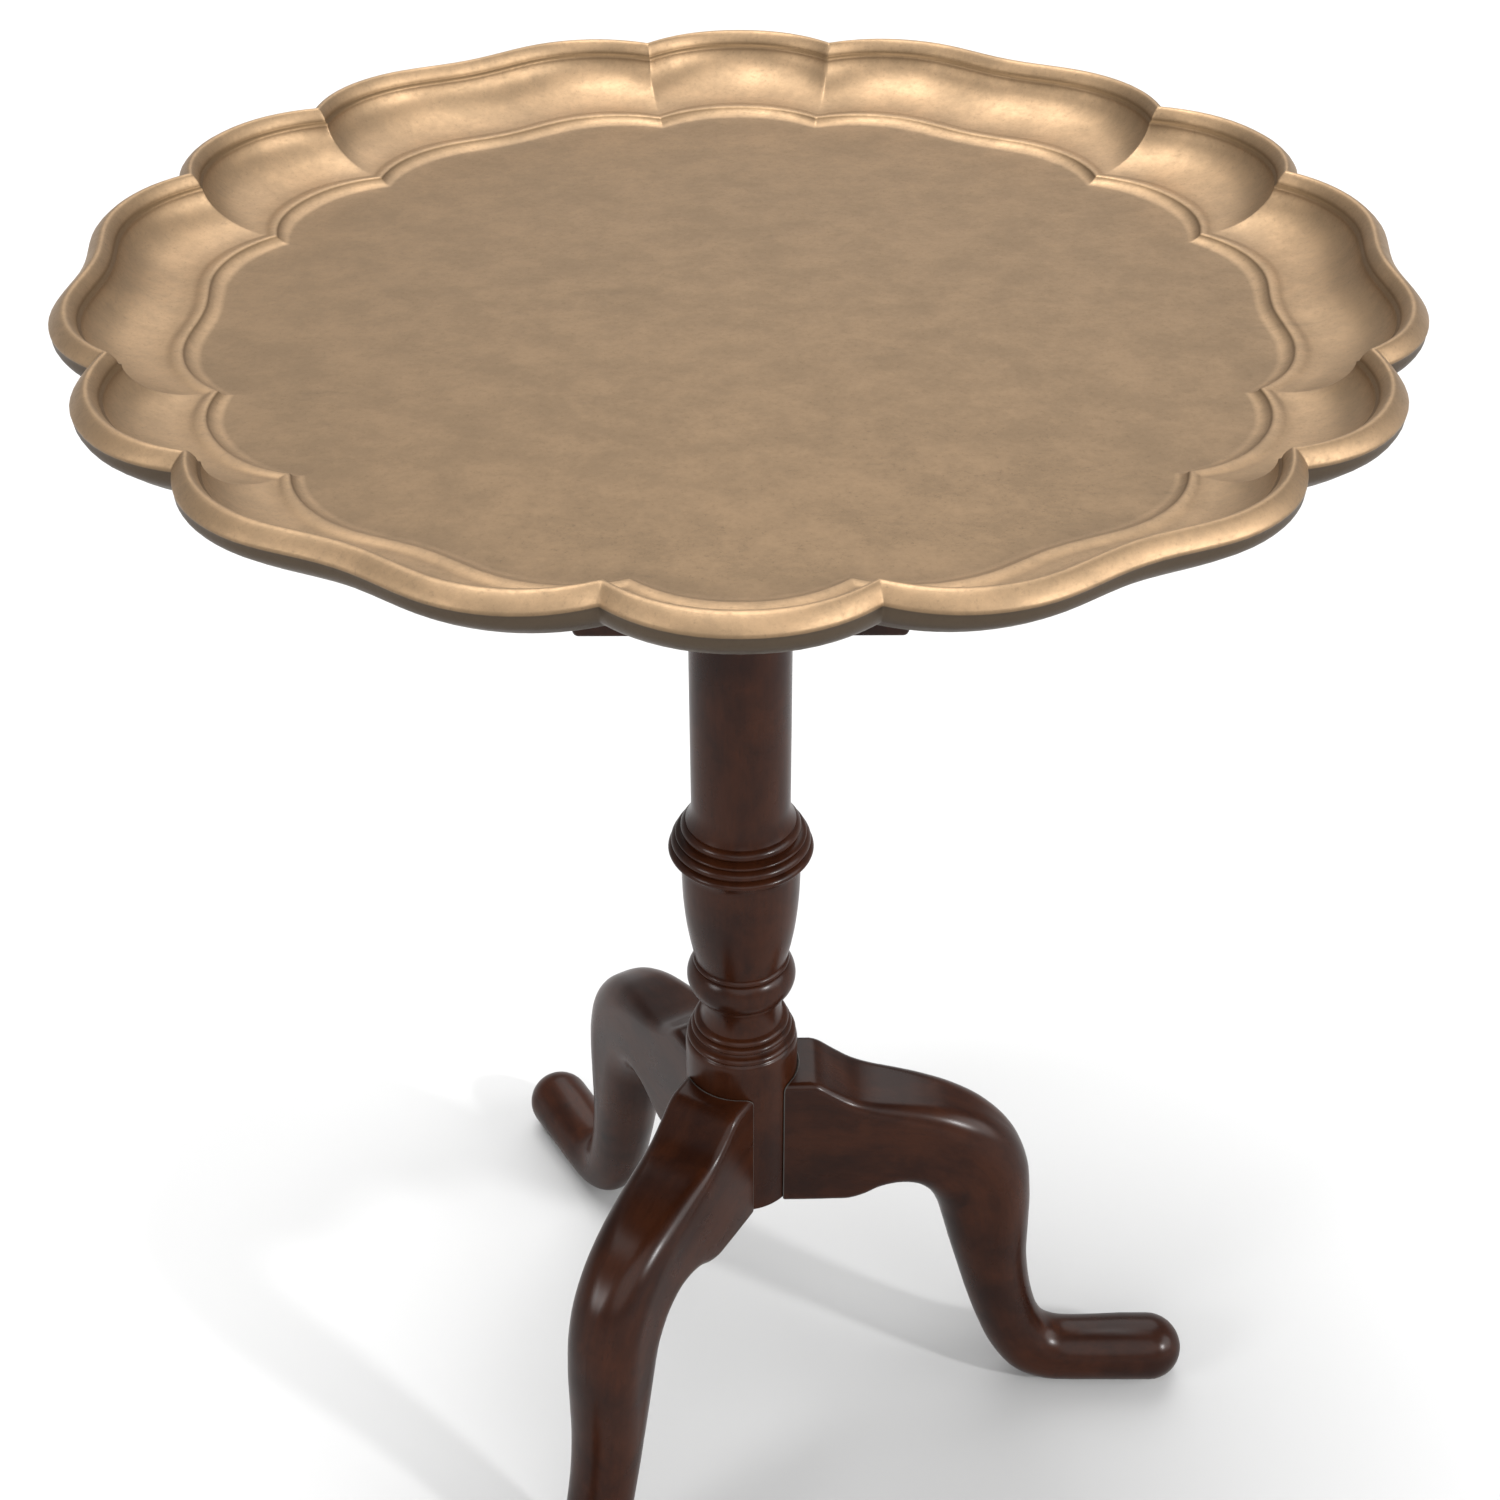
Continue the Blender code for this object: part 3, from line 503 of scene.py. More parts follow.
# Runs of (radius at a cusp, height, share of the scallop, crease darkening, partly patina and partly painted
# shade). Neighbouring runs meet at a crisp line.
TRAY_RUNS = (
    # floor fillet and step
    ((199.4, 634.6, 0.85, 0.0), (201.2, 634.8, 0.87, 0.0), (202.9, 635.4, 0.89, 0.0), (204.3, 636.3, 0.91, 0.05),
     (205.0, 637.1, 0.92, 0.9)),
    # moulding round the floor
    ((205.0, 637.1, 0.92, 0.7), (205.5, 637.55, 0.93, 0.1), (206.6, 637.75, 0.95, 0.0),
     (208.2, 637.5, 0.975, 0.0), (210.3, 637.0, 1.0, 0.25)),
    # hollow wall
    ((210.3, 637.0, 1.0, 0.25), (216.5, 637.7, 1.0, 0.0), (222.8, 639.4, 1.0, 0.0), (228.0, 641.7, 1.0, 0.0),
     (232.2, 644.6, 1.0, 0.0), (235.3, 647.7, 1.0, 0.0), (237.1, 650.6, 1.0, 0.05), (237.9, 652.8, 1.0, 0.3),
     (238.0, 653.9, 1.0, 0.9)),
    # groove under the lip
    ((238.0, 653.9, 1.0, 0.9), (238.9, 654.2, 1.0, 1.0), (239.2, 655.0, 1.0, 0.9)),
    # lip
    ((239.2, 655.0, 1.0, 0.8), (239.6, 656.2, 1.0, 0.15), (240.6, 657.7, 1.0, 0.0), (242.0, 659.35, 1.0, 0.0),
     (242.9, 659.9, 1.0, 0.0), (243.9, 659.75, 1.0, 0.0), (245.8, 658.4, 1.0, 0.0), (247.7, 656.5, 1.0, 0.0),
     (248.8, 655.1, 1.0, 0.0), (249.1, 654.5, 1.0, 0.0), (249.1, 653.8, 1.0, 0.1), (248.8, 653.3, 0.995, 0.3)),
    # outer wall and underside
    ((248.8, 653.3, 0.995, 0.3), (248.8, 650.0, 0.98, 0.0), (247.7, 647.5, 0.955, 0.0), (245.6, 645.4, 0.93, 0.0),
     (241.9, 642.3, 0.915, 0.0), (237.6, 639.8, 0.90, 0.0), (231.5, 637.1, 0.89, 0.0), (225.0, 635.2, 0.88, 0.0),
     (211.0, 632.6, 0.86, 0.0), (200.0, 631.6, 0.85, 0.0)),
)
OUTER_WALL_TOP = (248.8, 653.3)


def soft_max(a, b, softness):
    """The larger of two numbers, rounded over where they cross."""
    top = max(a, b)
    return top + softness * math.log(math.exp((a - top) / softness) + math.exp((b - top) / softness))


def lobe(degrees):
    """How far the scalloped edge stands out at an angle, as a share of the radius at the cusps."""
    off_narrow = abs((degrees + 2 * LOBE_PITCH) % LOBE_PITCH - LOBE_PITCH / 2)
    narrow = NARROW_SWELL * (1.0 - (off_narrow / NARROW_HALF) ** LOBE_POWER)
    across = (LOBE_PITCH / 2 - off_narrow) / (LOBE_PITCH / 2 - NARROW_HALF)
    wide = WIDE_SWELL * (1.0 - abs(2.0 * across - 1.0) ** LOBE_POWER)
    if across < 0.5:
        wide = WIDE_TROUGH + (WIDE_SWELL - WIDE_TROUGH) * (1.0 - math.cos(2.0 * math.pi * across)) / 2.0
    return soft_max(narrow, wide, CUSP_SOFTNESS)


def scallop_angles():
    """Angles round the tray, closer together towards the cusps."""
    def spread(start, width, steps):
        return [start + width * (1 - math.cos(math.pi * i / steps)) / 2 for i in range(steps)]

    angles = []
    for k in range(6):
        narrow = -90.0 + LOBE_PITCH * k
        angles += spread(narrow - NARROW_HALF, 2 * NARROW_HALF, NARROW_STEPS)
        angles += spread(narrow + NARROW_HALF, LOBE_PITCH - 2 * NARROW_HALF, WIDE_STEPS)
    return angles


def make_tray():
    """The tray as one skin: top side from the middle out, over the lip, and back underneath."""
    rows = [(r, FLOOR_TOP, FLOOR_SHARE, 0.0) for r in FLOOR_RADII]
    for run in TRAY_RUNS:
        rows += smooth_run(run, SECTION_SPACING)[:-1]
    rows += [(r, FLOOR_UNDER, FLOOR_SHARE, 0.0) for r in UNDERSIDE_RADII]
    angles = scallop_angles()
    reach = [lobe(degrees) for degrees in angles]
    turn = [(math.cos(math.radians(degrees)), math.sin(math.radians(degrees))) for degrees in angles]
    rings = []
    for radius, height, share, _ in rows:
        ring = [radius * (1 + share * out) for out in reach]
        rings.append([(r * c, r * s, height) for r, (c, s) in zip(ring, turn)])
    mesh = loft("tray_scalloped", rings, (0, 0, FLOOR_TOP), (0, 0, FLOOR_UNDER), sharp=180.0)
    paint_tray(mesh, rows, len(angles))
    return mesh


def paint_tray(mesh, rows, count):
    """Darkening in the creases (partly patina, partly painted shade), and painted shade on the outer wall and the
    flat floor, as vertex attributes.

    Each list has a value for each row, then one for the middle of the top side and one for the underside's.
    """
    lip = next(i for i, row in enumerate(rows) if row[:2] == OUTER_WALL_TOP)
    painted_rows = {
        # crease darkening: partly patina, partly painted shade
        "crease_patina_and_shade": [row[3] for row in rows] + [0.0, 0.0],
        # painted shade on the downward outer wall, in place of its dark reflection
        "outer_wall_painted_shade": [float(i >= lip) for i in range(len(rows))] + [0.0, 1.0],
        # painted shade on the flat floor
        "floor_painted_shade": [float(row[1] == FLOOR_TOP) for row in rows] + [1.0, 0.0],
    }
    for name, values in painted_rows.items():
        attribute = mesh.attributes.new(name, "FLOAT", "POINT")
        per_vertex = np.concatenate([np.repeat(values[:-2], count), values[-2:]])
        attribute.data.foreach_set("value", per_vertex.astype(np.float32))


def boss_places():
    """The foot of each boss, over the screw holes in the bearers."""
    for node_name in ("bearer_left", "bearer_right"):
        low, high = millimetres(node_name)
        for y in BOSS_YS:
            yield ((low.x + high.x) / 2, y, BOSS_BOTTOM)


tray = object_from("tray_scalloped", make_tray(), TRAY_BRASS)
for number, place in enumerate(boss_places(), 1):
    stem = rod(place, (0, 0, 1), FLOOR_UNDER - BOSS_BOTTOM, BOSS_RADIUS)
    boss = object_from(f"tray_boss_{number}", stem, TRAY_BRASS)
    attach(boss, "top")
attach(tray, "top")
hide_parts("tray")


# ---------------------------------------------------------------- pedestal

SOCLE_RADIUS = 27.4
SHAFT_RADIUS = 22.75
SHAFT_TOP = 597.7
TENON_RADIUS = 12.0
TENON_TOP = COLUMN_HIGH.z
COLUMN_BOTTOM = COLUMN_LOW.z
CHAMFER = 0.6
BEAD_FULLNESS = 0.7             # under 1 makes a bead fuller than half a wave
TONGUE_ROOT = 12.3
TONGUE_MOUTH = SOCLE_RADIUS + 3.0
TONGUE_TOP = 217.0
TONGUE_BOTTOM = 157.6
TONGUE_ROOT_HALF = 6.5
TONGUE_MOUTH_HALF = 4.5
PLATE_SEAT_RADIUS = 17.4        # recess for the base plate, under the column
PLATE_SEAT_DEPTH = 2.5
KERF_HALF = 1.5                 # saw cut across the tenon, for its wedge
KERF_REACH = 14.0
KERF_DEPTH = 20.0
PAST = 1.0                      # how far a cutter stands out past the face that it cuts
LEG_AZIMUTHS = (0.0, 120.0, 240.0)


def bead(top, bottom, r_top, r_bottom, r_most, steps=12):
    """Half-round moulding between two heights, as profile points from top to bottom."""
    points = []
    for i in range(steps + 1):
        along = (1 - math.cos(math.pi * i / steps)) / 2
        base = r_top + (r_bottom - r_top) * along
        swell = (r_most - (r_top + r_bottom) / 2) * math.sin(math.pi * along) ** BEAD_FULLNESS
        points.append((base + swell, top + (bottom - top) * along))
    return points


def taper(top, bottom, r_top, r_bottom, power, steps):
    """A stretch whose radius leaves r_top slowly and reaches r_bottom fast."""
    return [(r_top + (r_bottom - r_top) * (i / steps) ** power, top + (bottom - top) * i / steps)
            for i in range(steps + 1)]


def straight(top, bottom, radius, steps):
    """A plain cylinder, in steps + 1 rings."""
    return [(radius, top + (bottom - top) * i / steps) for i in range(steps + 1)]


def column_profile():
    """The turning from the tenon down: shaft, stepped collar, vase, beads, hollow, beads and socle."""
    profile = [(0.0, TENON_TOP), (TENON_RADIUS - CHAMFER, TENON_TOP), (TENON_RADIUS, TENON_TOP - CHAMFER)]
    profile += [(TENON_RADIUS, SHAFT_TOP), (SHAFT_RADIUS - CHAMFER, SHAFT_TOP)]
    profile += straight(SHAFT_TOP - CHAMFER, 400.0, SHAFT_RADIUS, 12)
    profile += taper(395.0, 384.5, SHAFT_RADIUS, 25.4, 2.4, 8)
    profile += bead(383.6, 378.9, 25.2, 26.4, 27.6)
    profile += bead(378.5, 375.9, 27.4, 28.8, 30.2)
    profile += bead(375.5, 371.0, 29.8, 30.6, 32.2)
    profile += bead(370.6, 366.0, 31.4, 31.0, 33.6)
    profile += [(28.7, 365.3), (28.4, 364.9), (28.4, 362.6), (28.1, 362.2)]
    profile += taper(361.4, 303.0, 27.7, 22.0, 2.5, 24)
    profile += [(22.6, 302.5), (23.0, 302.0), (23.1, 301.4), (22.9, 300.8), (22.4, 300.3)]
    profile += bead(299.8, 282.2, 22.2, 21.6, 26.1, 20)
    profile += [(21.4, 281.9), (21.3, 281.2), (21.2, 280.3), (20.6, 279.8)]
    profile += smooth_run([(20.4, 279.3), (19.7, 275.8), (19.5, 272.0), (19.7, 268.4), (20.2, 265.5)], 1.0)
    profile += bead(265.0, 261.6, 21.0, 22.0, 22.9)
    profile += bead(261.2, 257.8, 22.8, 23.2, 24.5)
    profile += bead(256.4, 252.9, 24.6, 25.6, 26.5)
    shoulder = [(25.7, 252.6), (26.3, 252.2), (26.9, 251.3), (27.25, 250.0), (SOCLE_RADIUS, 248.2)]
    profile += smooth_run(shoulder, 0.6)
    profile += straight(247.6, COLUMN_BOTTOM + CHAMFER, SOCLE_RADIUS, 16)
    profile += [(SOCLE_RADIUS - CHAMFER, COLUMN_BOTTOM), (0.0, COLUMN_BOTTOM)]
    return profile


def dovetail(root, mouth, ease, bottom, top, azimuth=0.0):
    """Sliding dovetail, wide at its inner face and narrow at its mouth, as an upright prism."""
    inner, outer = TONGUE_ROOT_HALF + ease, TONGUE_MOUTH_HALF + ease
    mesh = prism("dovetail", [(root, -inner), (mouth, -outer), (mouth, outer), (root, inner)], bottom, top)
    mesh.transform(Matrix.Rotation(math.radians(azimuth), 4, "Z"))
    return mesh


def make_column():
    """The turning, with a dovetail slot for each leg, the base plate's recess and the kerf for the wedge."""
    foot = COLUMN_BOTTOM - PAST
    cutters = [dovetail(TONGUE_ROOT - GAP, TONGUE_MOUTH, GAP, foot, TONGUE_TOP + GAP, azimuth)
               for azimuth in LEG_AZIMUTHS]
    cutters.append(rod((0, 0, foot), (0, 0, 1), PLATE_SEAT_DEPTH + PAST, PLATE_SEAT_RADIUS, 64))
    cutters.append(box("kerf", (-KERF_HALF, -KERF_REACH, TENON_TOP - KERF_DEPTH),
                       (KERF_HALF, KERF_REACH, TENON_TOP + PAST)))
    cuts = [("DIFFERENCE", cutter) for cutter in cutters]
    mesh = carved(turned("pedestal_column", column_profile()), cuts)
    set_grain(mesh, along_z)
    return mesh


column = object_from("pedestal_column", make_column(), MAHOGANY)
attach(column, "base")
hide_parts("column")


# ---------------------------------------------------------------- legs

LEG_END_RADIUS = SOCLE_RADIUS + 0.02    # hollow end that stands against the socle
LEG_END_ROUND = 1.2
LEG_END_RUN = 0.15              # straight stretch after the rounded edge
END_EDGE_FROM = -0.1            # the pale painted highlight on the end's edge, as distances out from the hollow end
END_EDGE_TO = LEG_END_ROUND + 0.05
LEG_BODY_START = 33.0           # reach of the first cut that the leg is lofted through
LEG_SPACING = 3.2
GRAIN_SHIFT = 0.37              # gives each leg a different stretch of grain

# Each rung is a cut across the leg, seen from the side: upper reach, upper height, lower reach, lower height,
# half-width, and how round its corners are, from 0 for square to 1 for full round.
LEG_RUNGS = (
    (24.0, 232.6, 24.0, 152.0, 18.8, 0.20),
    (36.0, 232.4, 36.0, 152.0, 18.8, 0.22),
    (46.0, 226.0, 46.0, 152.0, 18.8, 0.25),
    (55.0, 220.4, 54.5, 152.2, 18.8, 0.28),
    (65.0, 217.2, 62.0, 154.6, 18.8, 0.34),
    (77.0, 215.0, 69.5, 158.6, 18.8, 0.42),
    (91.0, 212.0, 78.5, 160.4, 18.8, 0.52),
    (107.5, 206.8, 87.0, 158.6, 18.8, 0.66),
    (123.5, 198.0, 93.0, 153.4, 18.7, 0.80),
    (137.5, 183.5, 97.2, 146.0, 18.5, 0.92),
    (145.5, 165.5, 100.6, 136.8, 18.3, 1.0),
    (148.6, 144.0, 103.8, 125.2, 18.1, 1.0),
    (149.4, 121.0, 107.8, 109.5, 17.8, 1.0),
    (150.0, 98.0, 113.0, 90.5, 17.4, 1.0),
    (152.4, 78.0, 119.0, 69.0, 17.0, 1.0),
    (156.2, 60.0, 126.0, 47.5, 16.6, 1.0),
    (160.4, 48.0, 134.6, 26.8, 16.4, 1.0),
    (165.6, 40.3, 146.8, 10.0, 16.5, 1.0),
    (173.0, 36.6, 161.8, 2.4, 16.8, 1.0),
    (182.0, 35.8, 177.0, 0.8, 17.1, 1.0),
    (193.0, 36.0, 192.0, 0.8, 17.5, 1.0),
    (207.0, 36.6, 207.0, 0.8, 17.9, 1.0),
)
TOE_CENTRE = 221.6
TOE_RADIUS = 17.9
TOE_LIFT = 0.8
CORNER_STEPS = 10
FLAT_STEPS = 8


def section_points(half_width, half_depth, corner):
    """Points (across, along) round a rectangle with rounded corners, from the upper right corner.

    Each corner has CORNER_STEPS steps, and each side between two corners FLAT_STEPS.
    """
    points = []
    for quadrant, (sx, sy) in enumerate(((1, 1), (-1, 1), (-1, -1), (1, -1))):
        for i in range(CORNER_STEPS + 1):
            angle = math.radians(90.0 * (quadrant + i / CORNER_STEPS))
            points.append((sx * (half_width - corner) + corner * math.cos(angle),
                           sy * (half_depth - corner) + corner * math.sin(angle)))
    spread = []
    for i, (x, y) in enumerate(points):
        spread.append((x, y))
        if i % (CORNER_STEPS + 1) == CORNER_STEPS:
            nx, ny = points[(i + 1) % len(points)]
            spread += [(x + (nx - x) * k / FLAT_STEPS, y + (ny - y) * k / FLAT_STEPS)
                       for k in range(1, FLAT_STEPS)]
    return spread


def leg_ring(up_reach, up_height, low_reach, low_height, half_width, roundness):
    """The ring of points of one rung."""
    up, down = Vector((up_reach, up_height)), Vector((low_reach, low_height))
    middle = (up + down) / 2
    along = (up - down).normalized()
    half_depth = (up - down).length / 2
    corner = min(half_width, half_depth) * roundness
    ring = []
    for across, height in section_points(half_width, half_depth, corner):
        spot = middle + along * height
        ring.append((spot.x, across, spot.y))
    return ring


def end_ring(inset, offset):
    """A ring on the hollow end of the leg: its outline drawn in by inset, set out from the hollow by offset."""
    _, top, _, bottom, half_width, roundness = LEG_RUNGS[0]
    half_depth = (top - bottom) / 2
    drawn = section_points(half_width - inset, half_depth - inset, half_width * roundness - inset)
    return [(math.sqrt(LEG_END_RADIUS ** 2 - across ** 2) + offset, across, (top + bottom) / 2 + height)
            for across, height in drawn]


def hollow_end(shape, row):
    """Closes the end ring with upright strips, which keeps the end hollow all the way across."""
    quarter = CORNER_STEPS + FLAT_STEPS
    last = 3 * quarter + CORNER_STEPS
    strips = quarter + CORNER_STEPS
    for i in range(strips):
        face = [row[i], row[i + 1]]
        if i == strips - 1:
            face += row[i + 2:last - i - 1]
        face += [row[last - i - 1], row[last - i]]
        if i == 0:
            face += row[last + 1:]
        shape.faces.new(face)


def end_rings(steps=6):
    """Rings over the rounded edge of the leg's hollow end, from the hollow to the outside."""
    for i in range(steps + 1):
        angle = math.radians(90.0 * i / steps)
        yield end_ring(LEG_END_ROUND * (1 - math.sin(angle)), LEG_END_ROUND * (1 - math.cos(angle)))
    yield end_ring(0.0, LEG_END_ROUND + LEG_END_RUN)


def toe_rings(steps=9):
    """Rings over the ball that ends the foot."""
    height = TOE_LIFT + TOE_RADIUS
    for i in range(steps):
        angle = math.radians(90.0 * i / steps)
        reach = TOE_CENTRE + TOE_RADIUS * math.sin(angle)
        half = TOE_RADIUS * math.cos(angle)
        yield leg_ring(reach, height + half, reach, height - half, half, 1.0)


def make_leg():
    """The leg along X, with its dovetail tongue and the seat for its pad."""
    rungs = [rung for rung in smooth_run(LEG_RUNGS, LEG_SPACING, 4) if rung[0] > LEG_BODY_START]
    rings = list(end_rings()) + [leg_ring(*rung) for rung in rungs] + list(toe_rings())
    tip = (TOE_CENTRE + TOE_RADIUS, 0.0, TOE_LIFT + TOE_RADIUS)
    blank = loft("leg", rings, None, tip, cap=hollow_end)
    tongue = dovetail(TONGUE_ROOT, TONGUE_MOUTH, 0.0, TONGUE_BOTTOM, TONGUE_TOP)
    pad = PAD_LOW.x / 2 + PAD_HIGH.x / 2
    pad_radius = (PAD_HIGH.x - PAD_LOW.x) / 2 + GAP
    pad_seat = rod((pad, 0, -PAST), (0, 0, 1), PAD_HIGH.z + GAP + PAST, pad_radius)
    mesh = carved(blank, [("UNION", tongue), ("DIFFERENCE", pad_seat)])
    set_grain(mesh, along_leg)
    # paints the pale highlight on the rounded edge of the hollow end
    set_edge_highlight(mesh, on_end_edge)
    return mesh


def along_leg(points):
    """Distance along the leg's middle line, then distances to the side of it and above it."""
    line = np.array([((a + c) / 2, (b + d) / 2) for a, b, c, d, _, _ in LEG_RUNGS]) * MM
    line = np.vstack([line, [TOE_CENTRE * MM, (TOE_LIFT + TOE_RADIUS) * MM]])
    spans = np.diff(line, axis=0)
    lengths = np.linalg.norm(spans, axis=1)
    starts = np.concatenate([[0.0], np.cumsum(lengths)[:-1]])
    side = points[:, [0, 2]]
    best = np.full(len(points), np.inf)
    grain = np.zeros((len(points), 3))
    for start, span, length, begun in zip(line[:-1], spans, lengths, starts):
        share = np.clip((side - start) @ span / length ** 2, 0, 1)
        away = side - start - share[:, None] * span
        distance = np.linalg.norm(away, axis=1)
        nearer = distance < best
        best = np.where(nearer, distance, best)
        above = away @ np.array([-span[1], span[0]]) / length
        grain[nearer] = np.stack([begun + share * length, points[:, 1], above], axis=1)[nearer]
    return grain


def on_end_edge(points):
    """True on the rounded edge where the leg meets the socle, which carries the painted highlight."""
    hollow = np.sqrt(np.maximum(LEG_END_RADIUS ** 2 - points[:, 1] ** 2, 0.0))
    out = points[:, 0] - hollow
    return (out > END_EDGE_FROM) & (out < END_EDGE_TO)


def same_leg_other_grain(mesh):
    """A copy of a leg's mesh, with its grain moved on."""
    other = mesh.copy()
    grain = np.zeros(len(other.vertices) * 3, np.float32)
    other.attributes["grain"].data.foreach_get("vector", grain)
    other.attributes["grain"].data.foreach_set("vector", grain + GRAIN_SHIFT)
    return other


for number, azimuth in enumerate(LEG_AZIMUTHS, 1):
    leg_mesh = make_leg() if number == 1 else same_leg_other_grain(leg_mesh)
    leg = object_from(f"cabriole_leg_{number}", leg_mesh, MAHOGANY)
    leg.rotation_euler.z = math.radians(azimuth)
    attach(leg, "base")
    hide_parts(f"leg_{number}")


# ---------------------------------------------------------------- block, bearers and cleat

PIVOT_PLACE = ((PIVOT_LOW + PIVOT_HIGH) / 2).yz
PIVOT_BORE = 4.4
PIVOT_BORE_START = 16.0         # how far from the middle the block's pivot bores begin
PIVOT_BORE_LENGTH = 60.0
BLOCK_ROUND = BLOCK_HIGH.y - PIVOT_PLACE[0]
BLOCK_ROUND_STEPS = 16
TENON_BORE_LENGTH = 45.0
STRIKE_MOUTH_HALF = 5.6         # hole for the bolt, behind the strike plate
STRIKE_MOUTH_DEPTH = 10.0
STRIKE_MOUTH_BOTTOM = 613.0
STRIKE_MOUTH_TOP = 619.2
BEARER_EDGE = 2.2
BOSS_SEAT_LENGTH = 12.0
BOSS_SEAT_EASE = 0.4
SCREW_BORE = 2.1
BORE_PAST = 5.0                 # how far a bore's cutter stands out of the piece


def make_block():
    """Block on the column's tenon. Its upper back edge is round about the pivot, to let the top swing."""
    y, z = PIVOT_PLACE
    outline = [(BLOCK_LOW.y, BLOCK_LOW.z), (BLOCK_HIGH.y, BLOCK_LOW.z)]
    for i in range(BLOCK_ROUND_STEPS + 1):
        angle = math.radians(90.0 * i / BLOCK_ROUND_STEPS)
        outline.append((y + BLOCK_ROUND * math.cos(angle), z + BLOCK_ROUND * math.sin(angle)))
    outline.append((BLOCK_LOW.y, BLOCK_HIGH.z))
    mesh = prism("top_block_fine", outline, BLOCK_LOW.x, BLOCK_HIGH.x)
    mesh.transform(Matrix(((0, 0, 1, 0), (1, 0, 0, 0), (0, 1, 0, 0), (0, 0, 0, 1))))
    foot = (0, 0, BLOCK_LOW.z - BORE_PAST)
    cutters = [rod(foot, (0, 0, 1), TENON_BORE_LENGTH, TENON_RADIUS + GAP, 64)]
    for side in (-1, 1):
        cutters.append(rod((side * PIVOT_BORE_START, y, z), (side, 0, 0), PIVOT_BORE_LENGTH, PIVOT_BORE))
    cutters.append(box("strike_mouth", (-STRIKE_MOUTH_HALF, BLOCK_LOW.y - PAST, STRIKE_MOUTH_BOTTOM),
                       (STRIKE_MOUTH_HALF, BLOCK_LOW.y + STRIKE_MOUTH_DEPTH, STRIKE_MOUTH_TOP)))
    mesh = carved(mesh, [("DIFFERENCE", cutter) for cutter in cutters])
    set_grain(mesh, along_y, offset=0.11)
    return mesh


def make_bearer(name, grain_offset):
    """A bearer with its pivot bore, and a seat and a screw hole for each of the tray's bosses."""
    low, high = millimetres(name)
    y, z = PIVOT_PLACE
    middle = (low.x + high.x) / 2
    cutters = [rod((low.x - BORE_PAST, y, z), (1, 0, 0), high.x - low.x + 2 * BORE_PAST, PIVOT_BORE)]
    for boss_y in BOSS_YS:
        seat_floor = (middle, boss_y, BOSS_BOTTOM - GAP)
        cutters.append(rod(seat_floor, (0, 0, 1), BOSS_SEAT_LENGTH, BOSS_RADIUS + BOSS_SEAT_EASE))
        under = (middle, boss_y, low.z - PAST)
        cutters.append(rod(under, (0, 0, 1), BOSS_BOTTOM - low.z + PAST, SCREW_BORE))
    mesh = carved(box(name, low, high, BEARER_EDGE, 5), [("DIFFERENCE", cutter) for cutter in cutters])
    set_grain(mesh, along_y, grain_offset)
    return mesh


def make_cleat():
    mesh = box("catch_cleat_fine", CLEAT_LOW, CLEAT_HIGH, 1.0, 4)
    set_grain(mesh, along_x, offset=0.53)
    return mesh


def make_wedge():
    low, high = millimetres("tenon_wedge")
    mesh = box("tenon_wedge_fine", low, high, 0.3, 2)
    set_grain(mesh, along_z, offset=0.21)
    return mesh


for piece, body, stands_for in (
    (object_from("top_block_fine", make_block(), MAHOGANY), "base", "top_block"),
    (object_from("bearer_left_fine", make_bearer("bearer_left", 0.71), MAHOGANY), "top", "bearer_left"),
    (object_from("bearer_right_fine", make_bearer("bearer_right", 0.93), MAHOGANY), "top", "bearer_right"),
    (object_from("catch_cleat_fine", make_cleat(), MAHOGANY), "top", "catch_cleat"),
    (object_from("tenon_wedge_fine", make_wedge(), MAHOGANY), "base", "tenon_wedge"),
):
    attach(piece, body)
    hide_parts(stands_for)


# ---------------------------------------------------------------- fittings kept from the frame

def refinish(prefix, finish, ease=0.25):
    """New material, and eased edges, for every node whose name starts with the prefix."""
    for name, obj in NODES.items():
        if not name.startswith(prefix) or obj.hide_render:
            continue
        for slot in obj.material_slots:
            slot.material = finish
        ease_edges(obj, ease)


refinish("tray_screw", STEEL)
refinish("cleat_screw", STEEL)
refinish("base_plate", STEEL)
refinish("pivot_", STEEL)
refinish("case_screw", FITTING_BRASS)
refinish("strike_", FITTING_BRASS)
refinish("catch_case", FITTING_BRASS, 0.4)
refinish("catch_bolt", FITTING_BRASS, 0.4)
refinish("catch_knob", FITTING_BRASS, 0.3)
refinish("foot_pad", FELT, 0.4)


# ---------------------------------------------------------------- floor, light and camera

CAMERA_PLACE = Vector((-0.00057, -0.85974, 1.04321))
CAMERA_YAW = 0.0055
CAMERA_PITCH = 0.6256
CAMERA_LENS = 56.85
CAMERA_SENSOR = 36.0
FLOOR_SIZE = 80.0
LAMP_DISTANCE = 3.0
HORIZON_GLOW_TOP = 0.34         # sine of the elevation at which the brighter horizon ends


def add_floor():
    bpy.ops.mesh.primitive_plane_add(size=FLOOR_SIZE, location=(0, 0, 0))
    floor = bpy.context.object
    floor.name = "floor"
    floor.data.materials.append(floor_material())


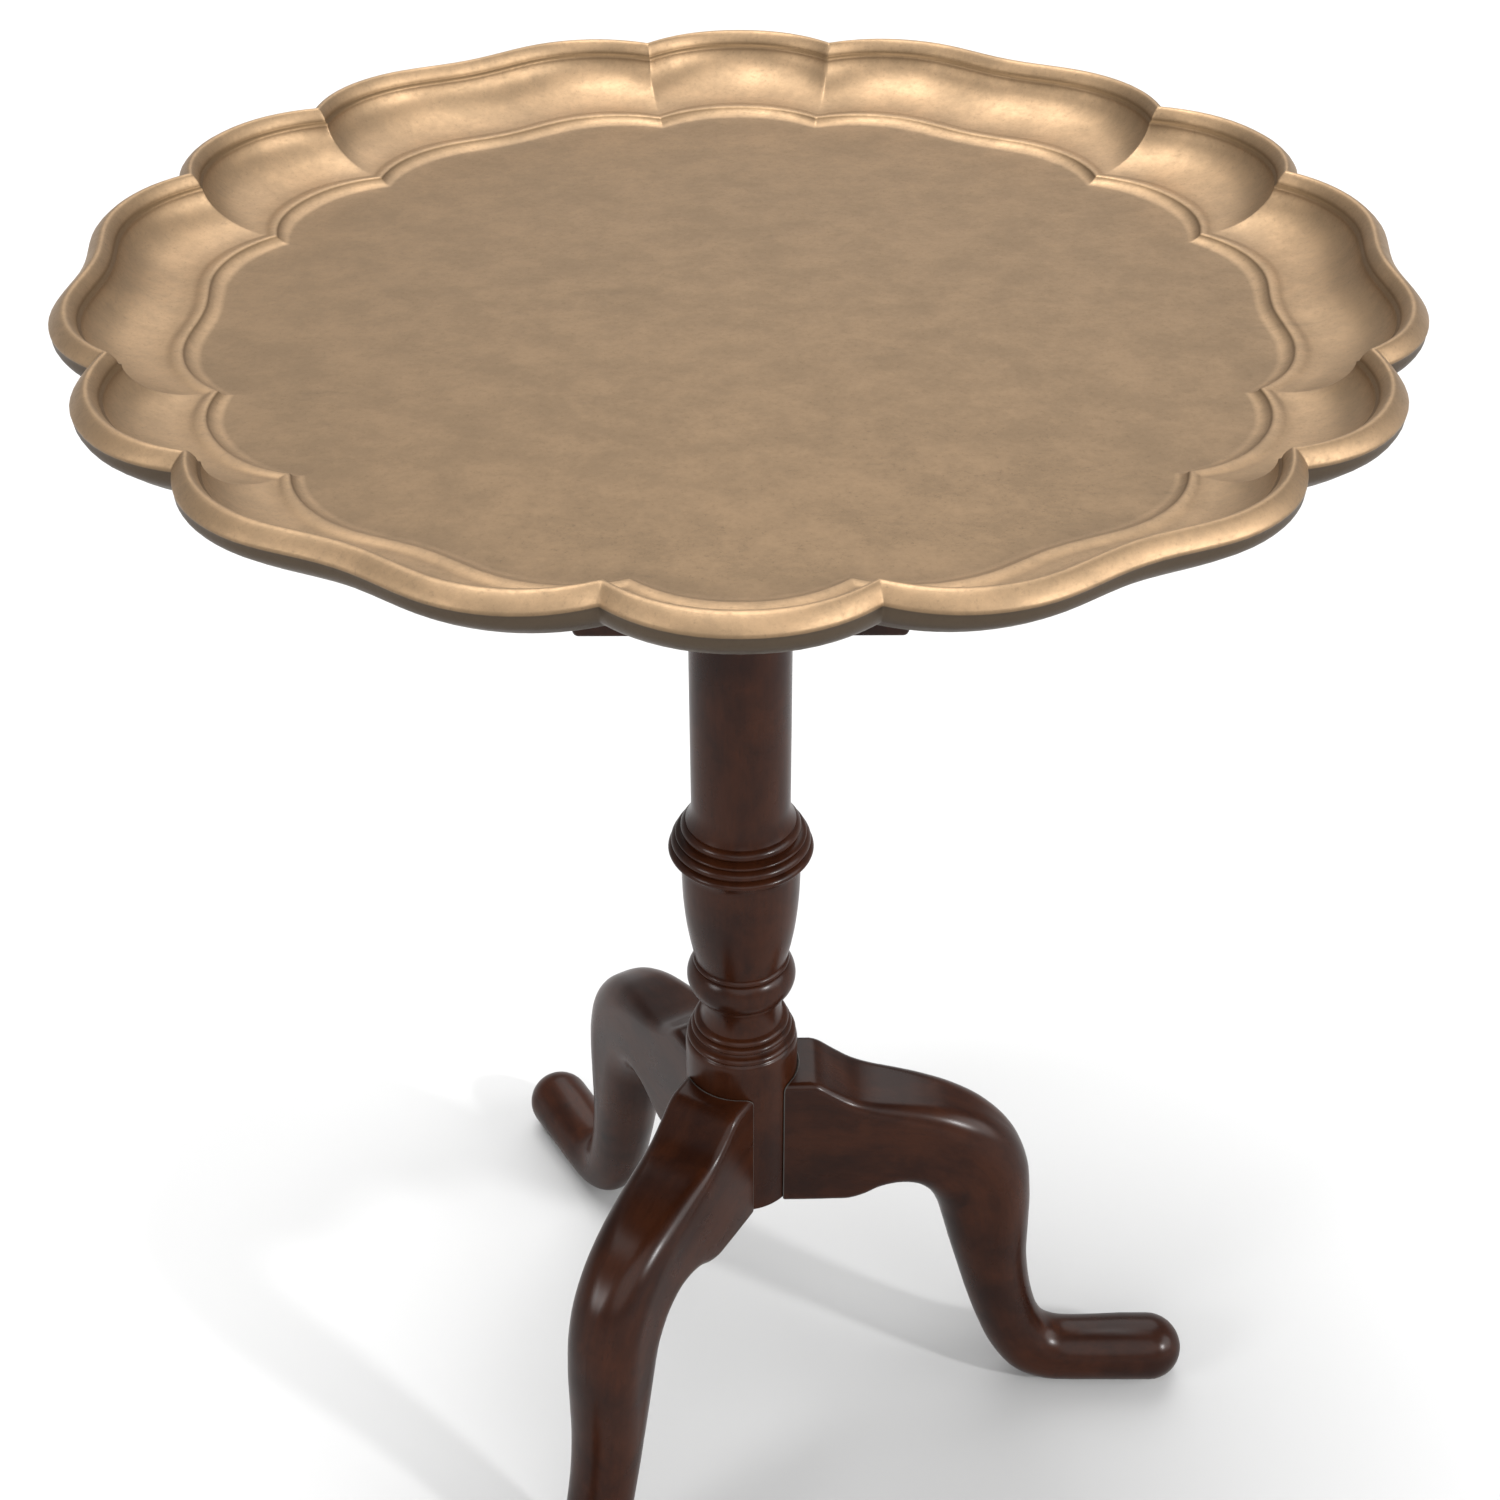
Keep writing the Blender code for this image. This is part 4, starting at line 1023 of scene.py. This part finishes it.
def add_camera():
    level = math.cos(CAMERA_PITCH)
    ahead = Vector((math.sin(CAMERA_YAW) * level, math.cos(CAMERA_YAW) * level, -math.sin(CAMERA_PITCH)))
    right = Vector((math.cos(CAMERA_YAW), -math.sin(CAMERA_YAW), 0.0))
    up = right.cross(ahead)
    lens = bpy.data.cameras.new("camera")
    lens.lens = CAMERA_LENS
    lens.sensor_width = CAMERA_SENSOR
    lens.sensor_fit = "HORIZONTAL"
    camera = bpy.data.objects.new("camera", lens)
    turn = Matrix((right, up, -ahead)).transposed().to_4x4()
    camera.matrix_world = Matrix.Translation(CAMERA_PLACE) @ turn
    bpy.context.scene.collection.objects.link(camera)
    bpy.context.scene.camera = camera


def add_lamp(name, toward, spread, strength):
    """A distant round light, seen under an angle of spread degrees in the direction toward."""
    light = bpy.data.lights.new(name, "SUN")
    light.energy = strength
    light.angle = math.radians(spread)
    lamp = bpy.data.objects.new(name, light)
    lamp.location = Vector(toward) * LAMP_DISTANCE
    lamp.rotation_euler = (-Vector(toward)).to_track_quat("-Z", "Y").to_euler()
    bpy.context.scene.collection.objects.link(lamp)


def add_world(horizon, above):
    """A pale studio: strength horizon at the horizon, fading to strength above at about 20 degrees up."""
    world = bpy.data.worlds.new("studio")
    world.use_nodes = True
    tree = world.node_tree
    place = node(tree, "TexCoord").outputs["Generated"]
    height = node(tree, "SeparateXYZ", Vector=place).outputs["Z"]
    background = tree.nodes["Background"]
    background.inputs["Color"].default_value = (1.0, 1.0, 1.0, 1.0)
    radiance = remap(tree, height, 0.0, HORIZON_GLOW_TOP, horizon, above)
    tree.links.new(radiance, background.inputs["Strength"])
    bpy.context.scene.world = world


add_floor()
add_camera()
add_world(1.0, 0.50)
add_lamp("overhead", (-0.16, 0.10, 1.0), 34.0, 3.6)
add_lamp("back", (0.10, 0.62, 0.78), 46.0, 1.3)
add_lamp("front", (0.05, -0.72, 0.69), 50.0, 1.1)
add_lamp("key", (0.725, -0.489, 0.485), 4.0, 2.15)
add_lamp("fill_left", (-0.79, -0.46, 0.45), 17.0, 1.1)
add_lamp("fill_right", (0.88, -0.15, 0.42), 34.0, 1.3)
bpy.context.scene.view_settings.view_transform = "Standard"
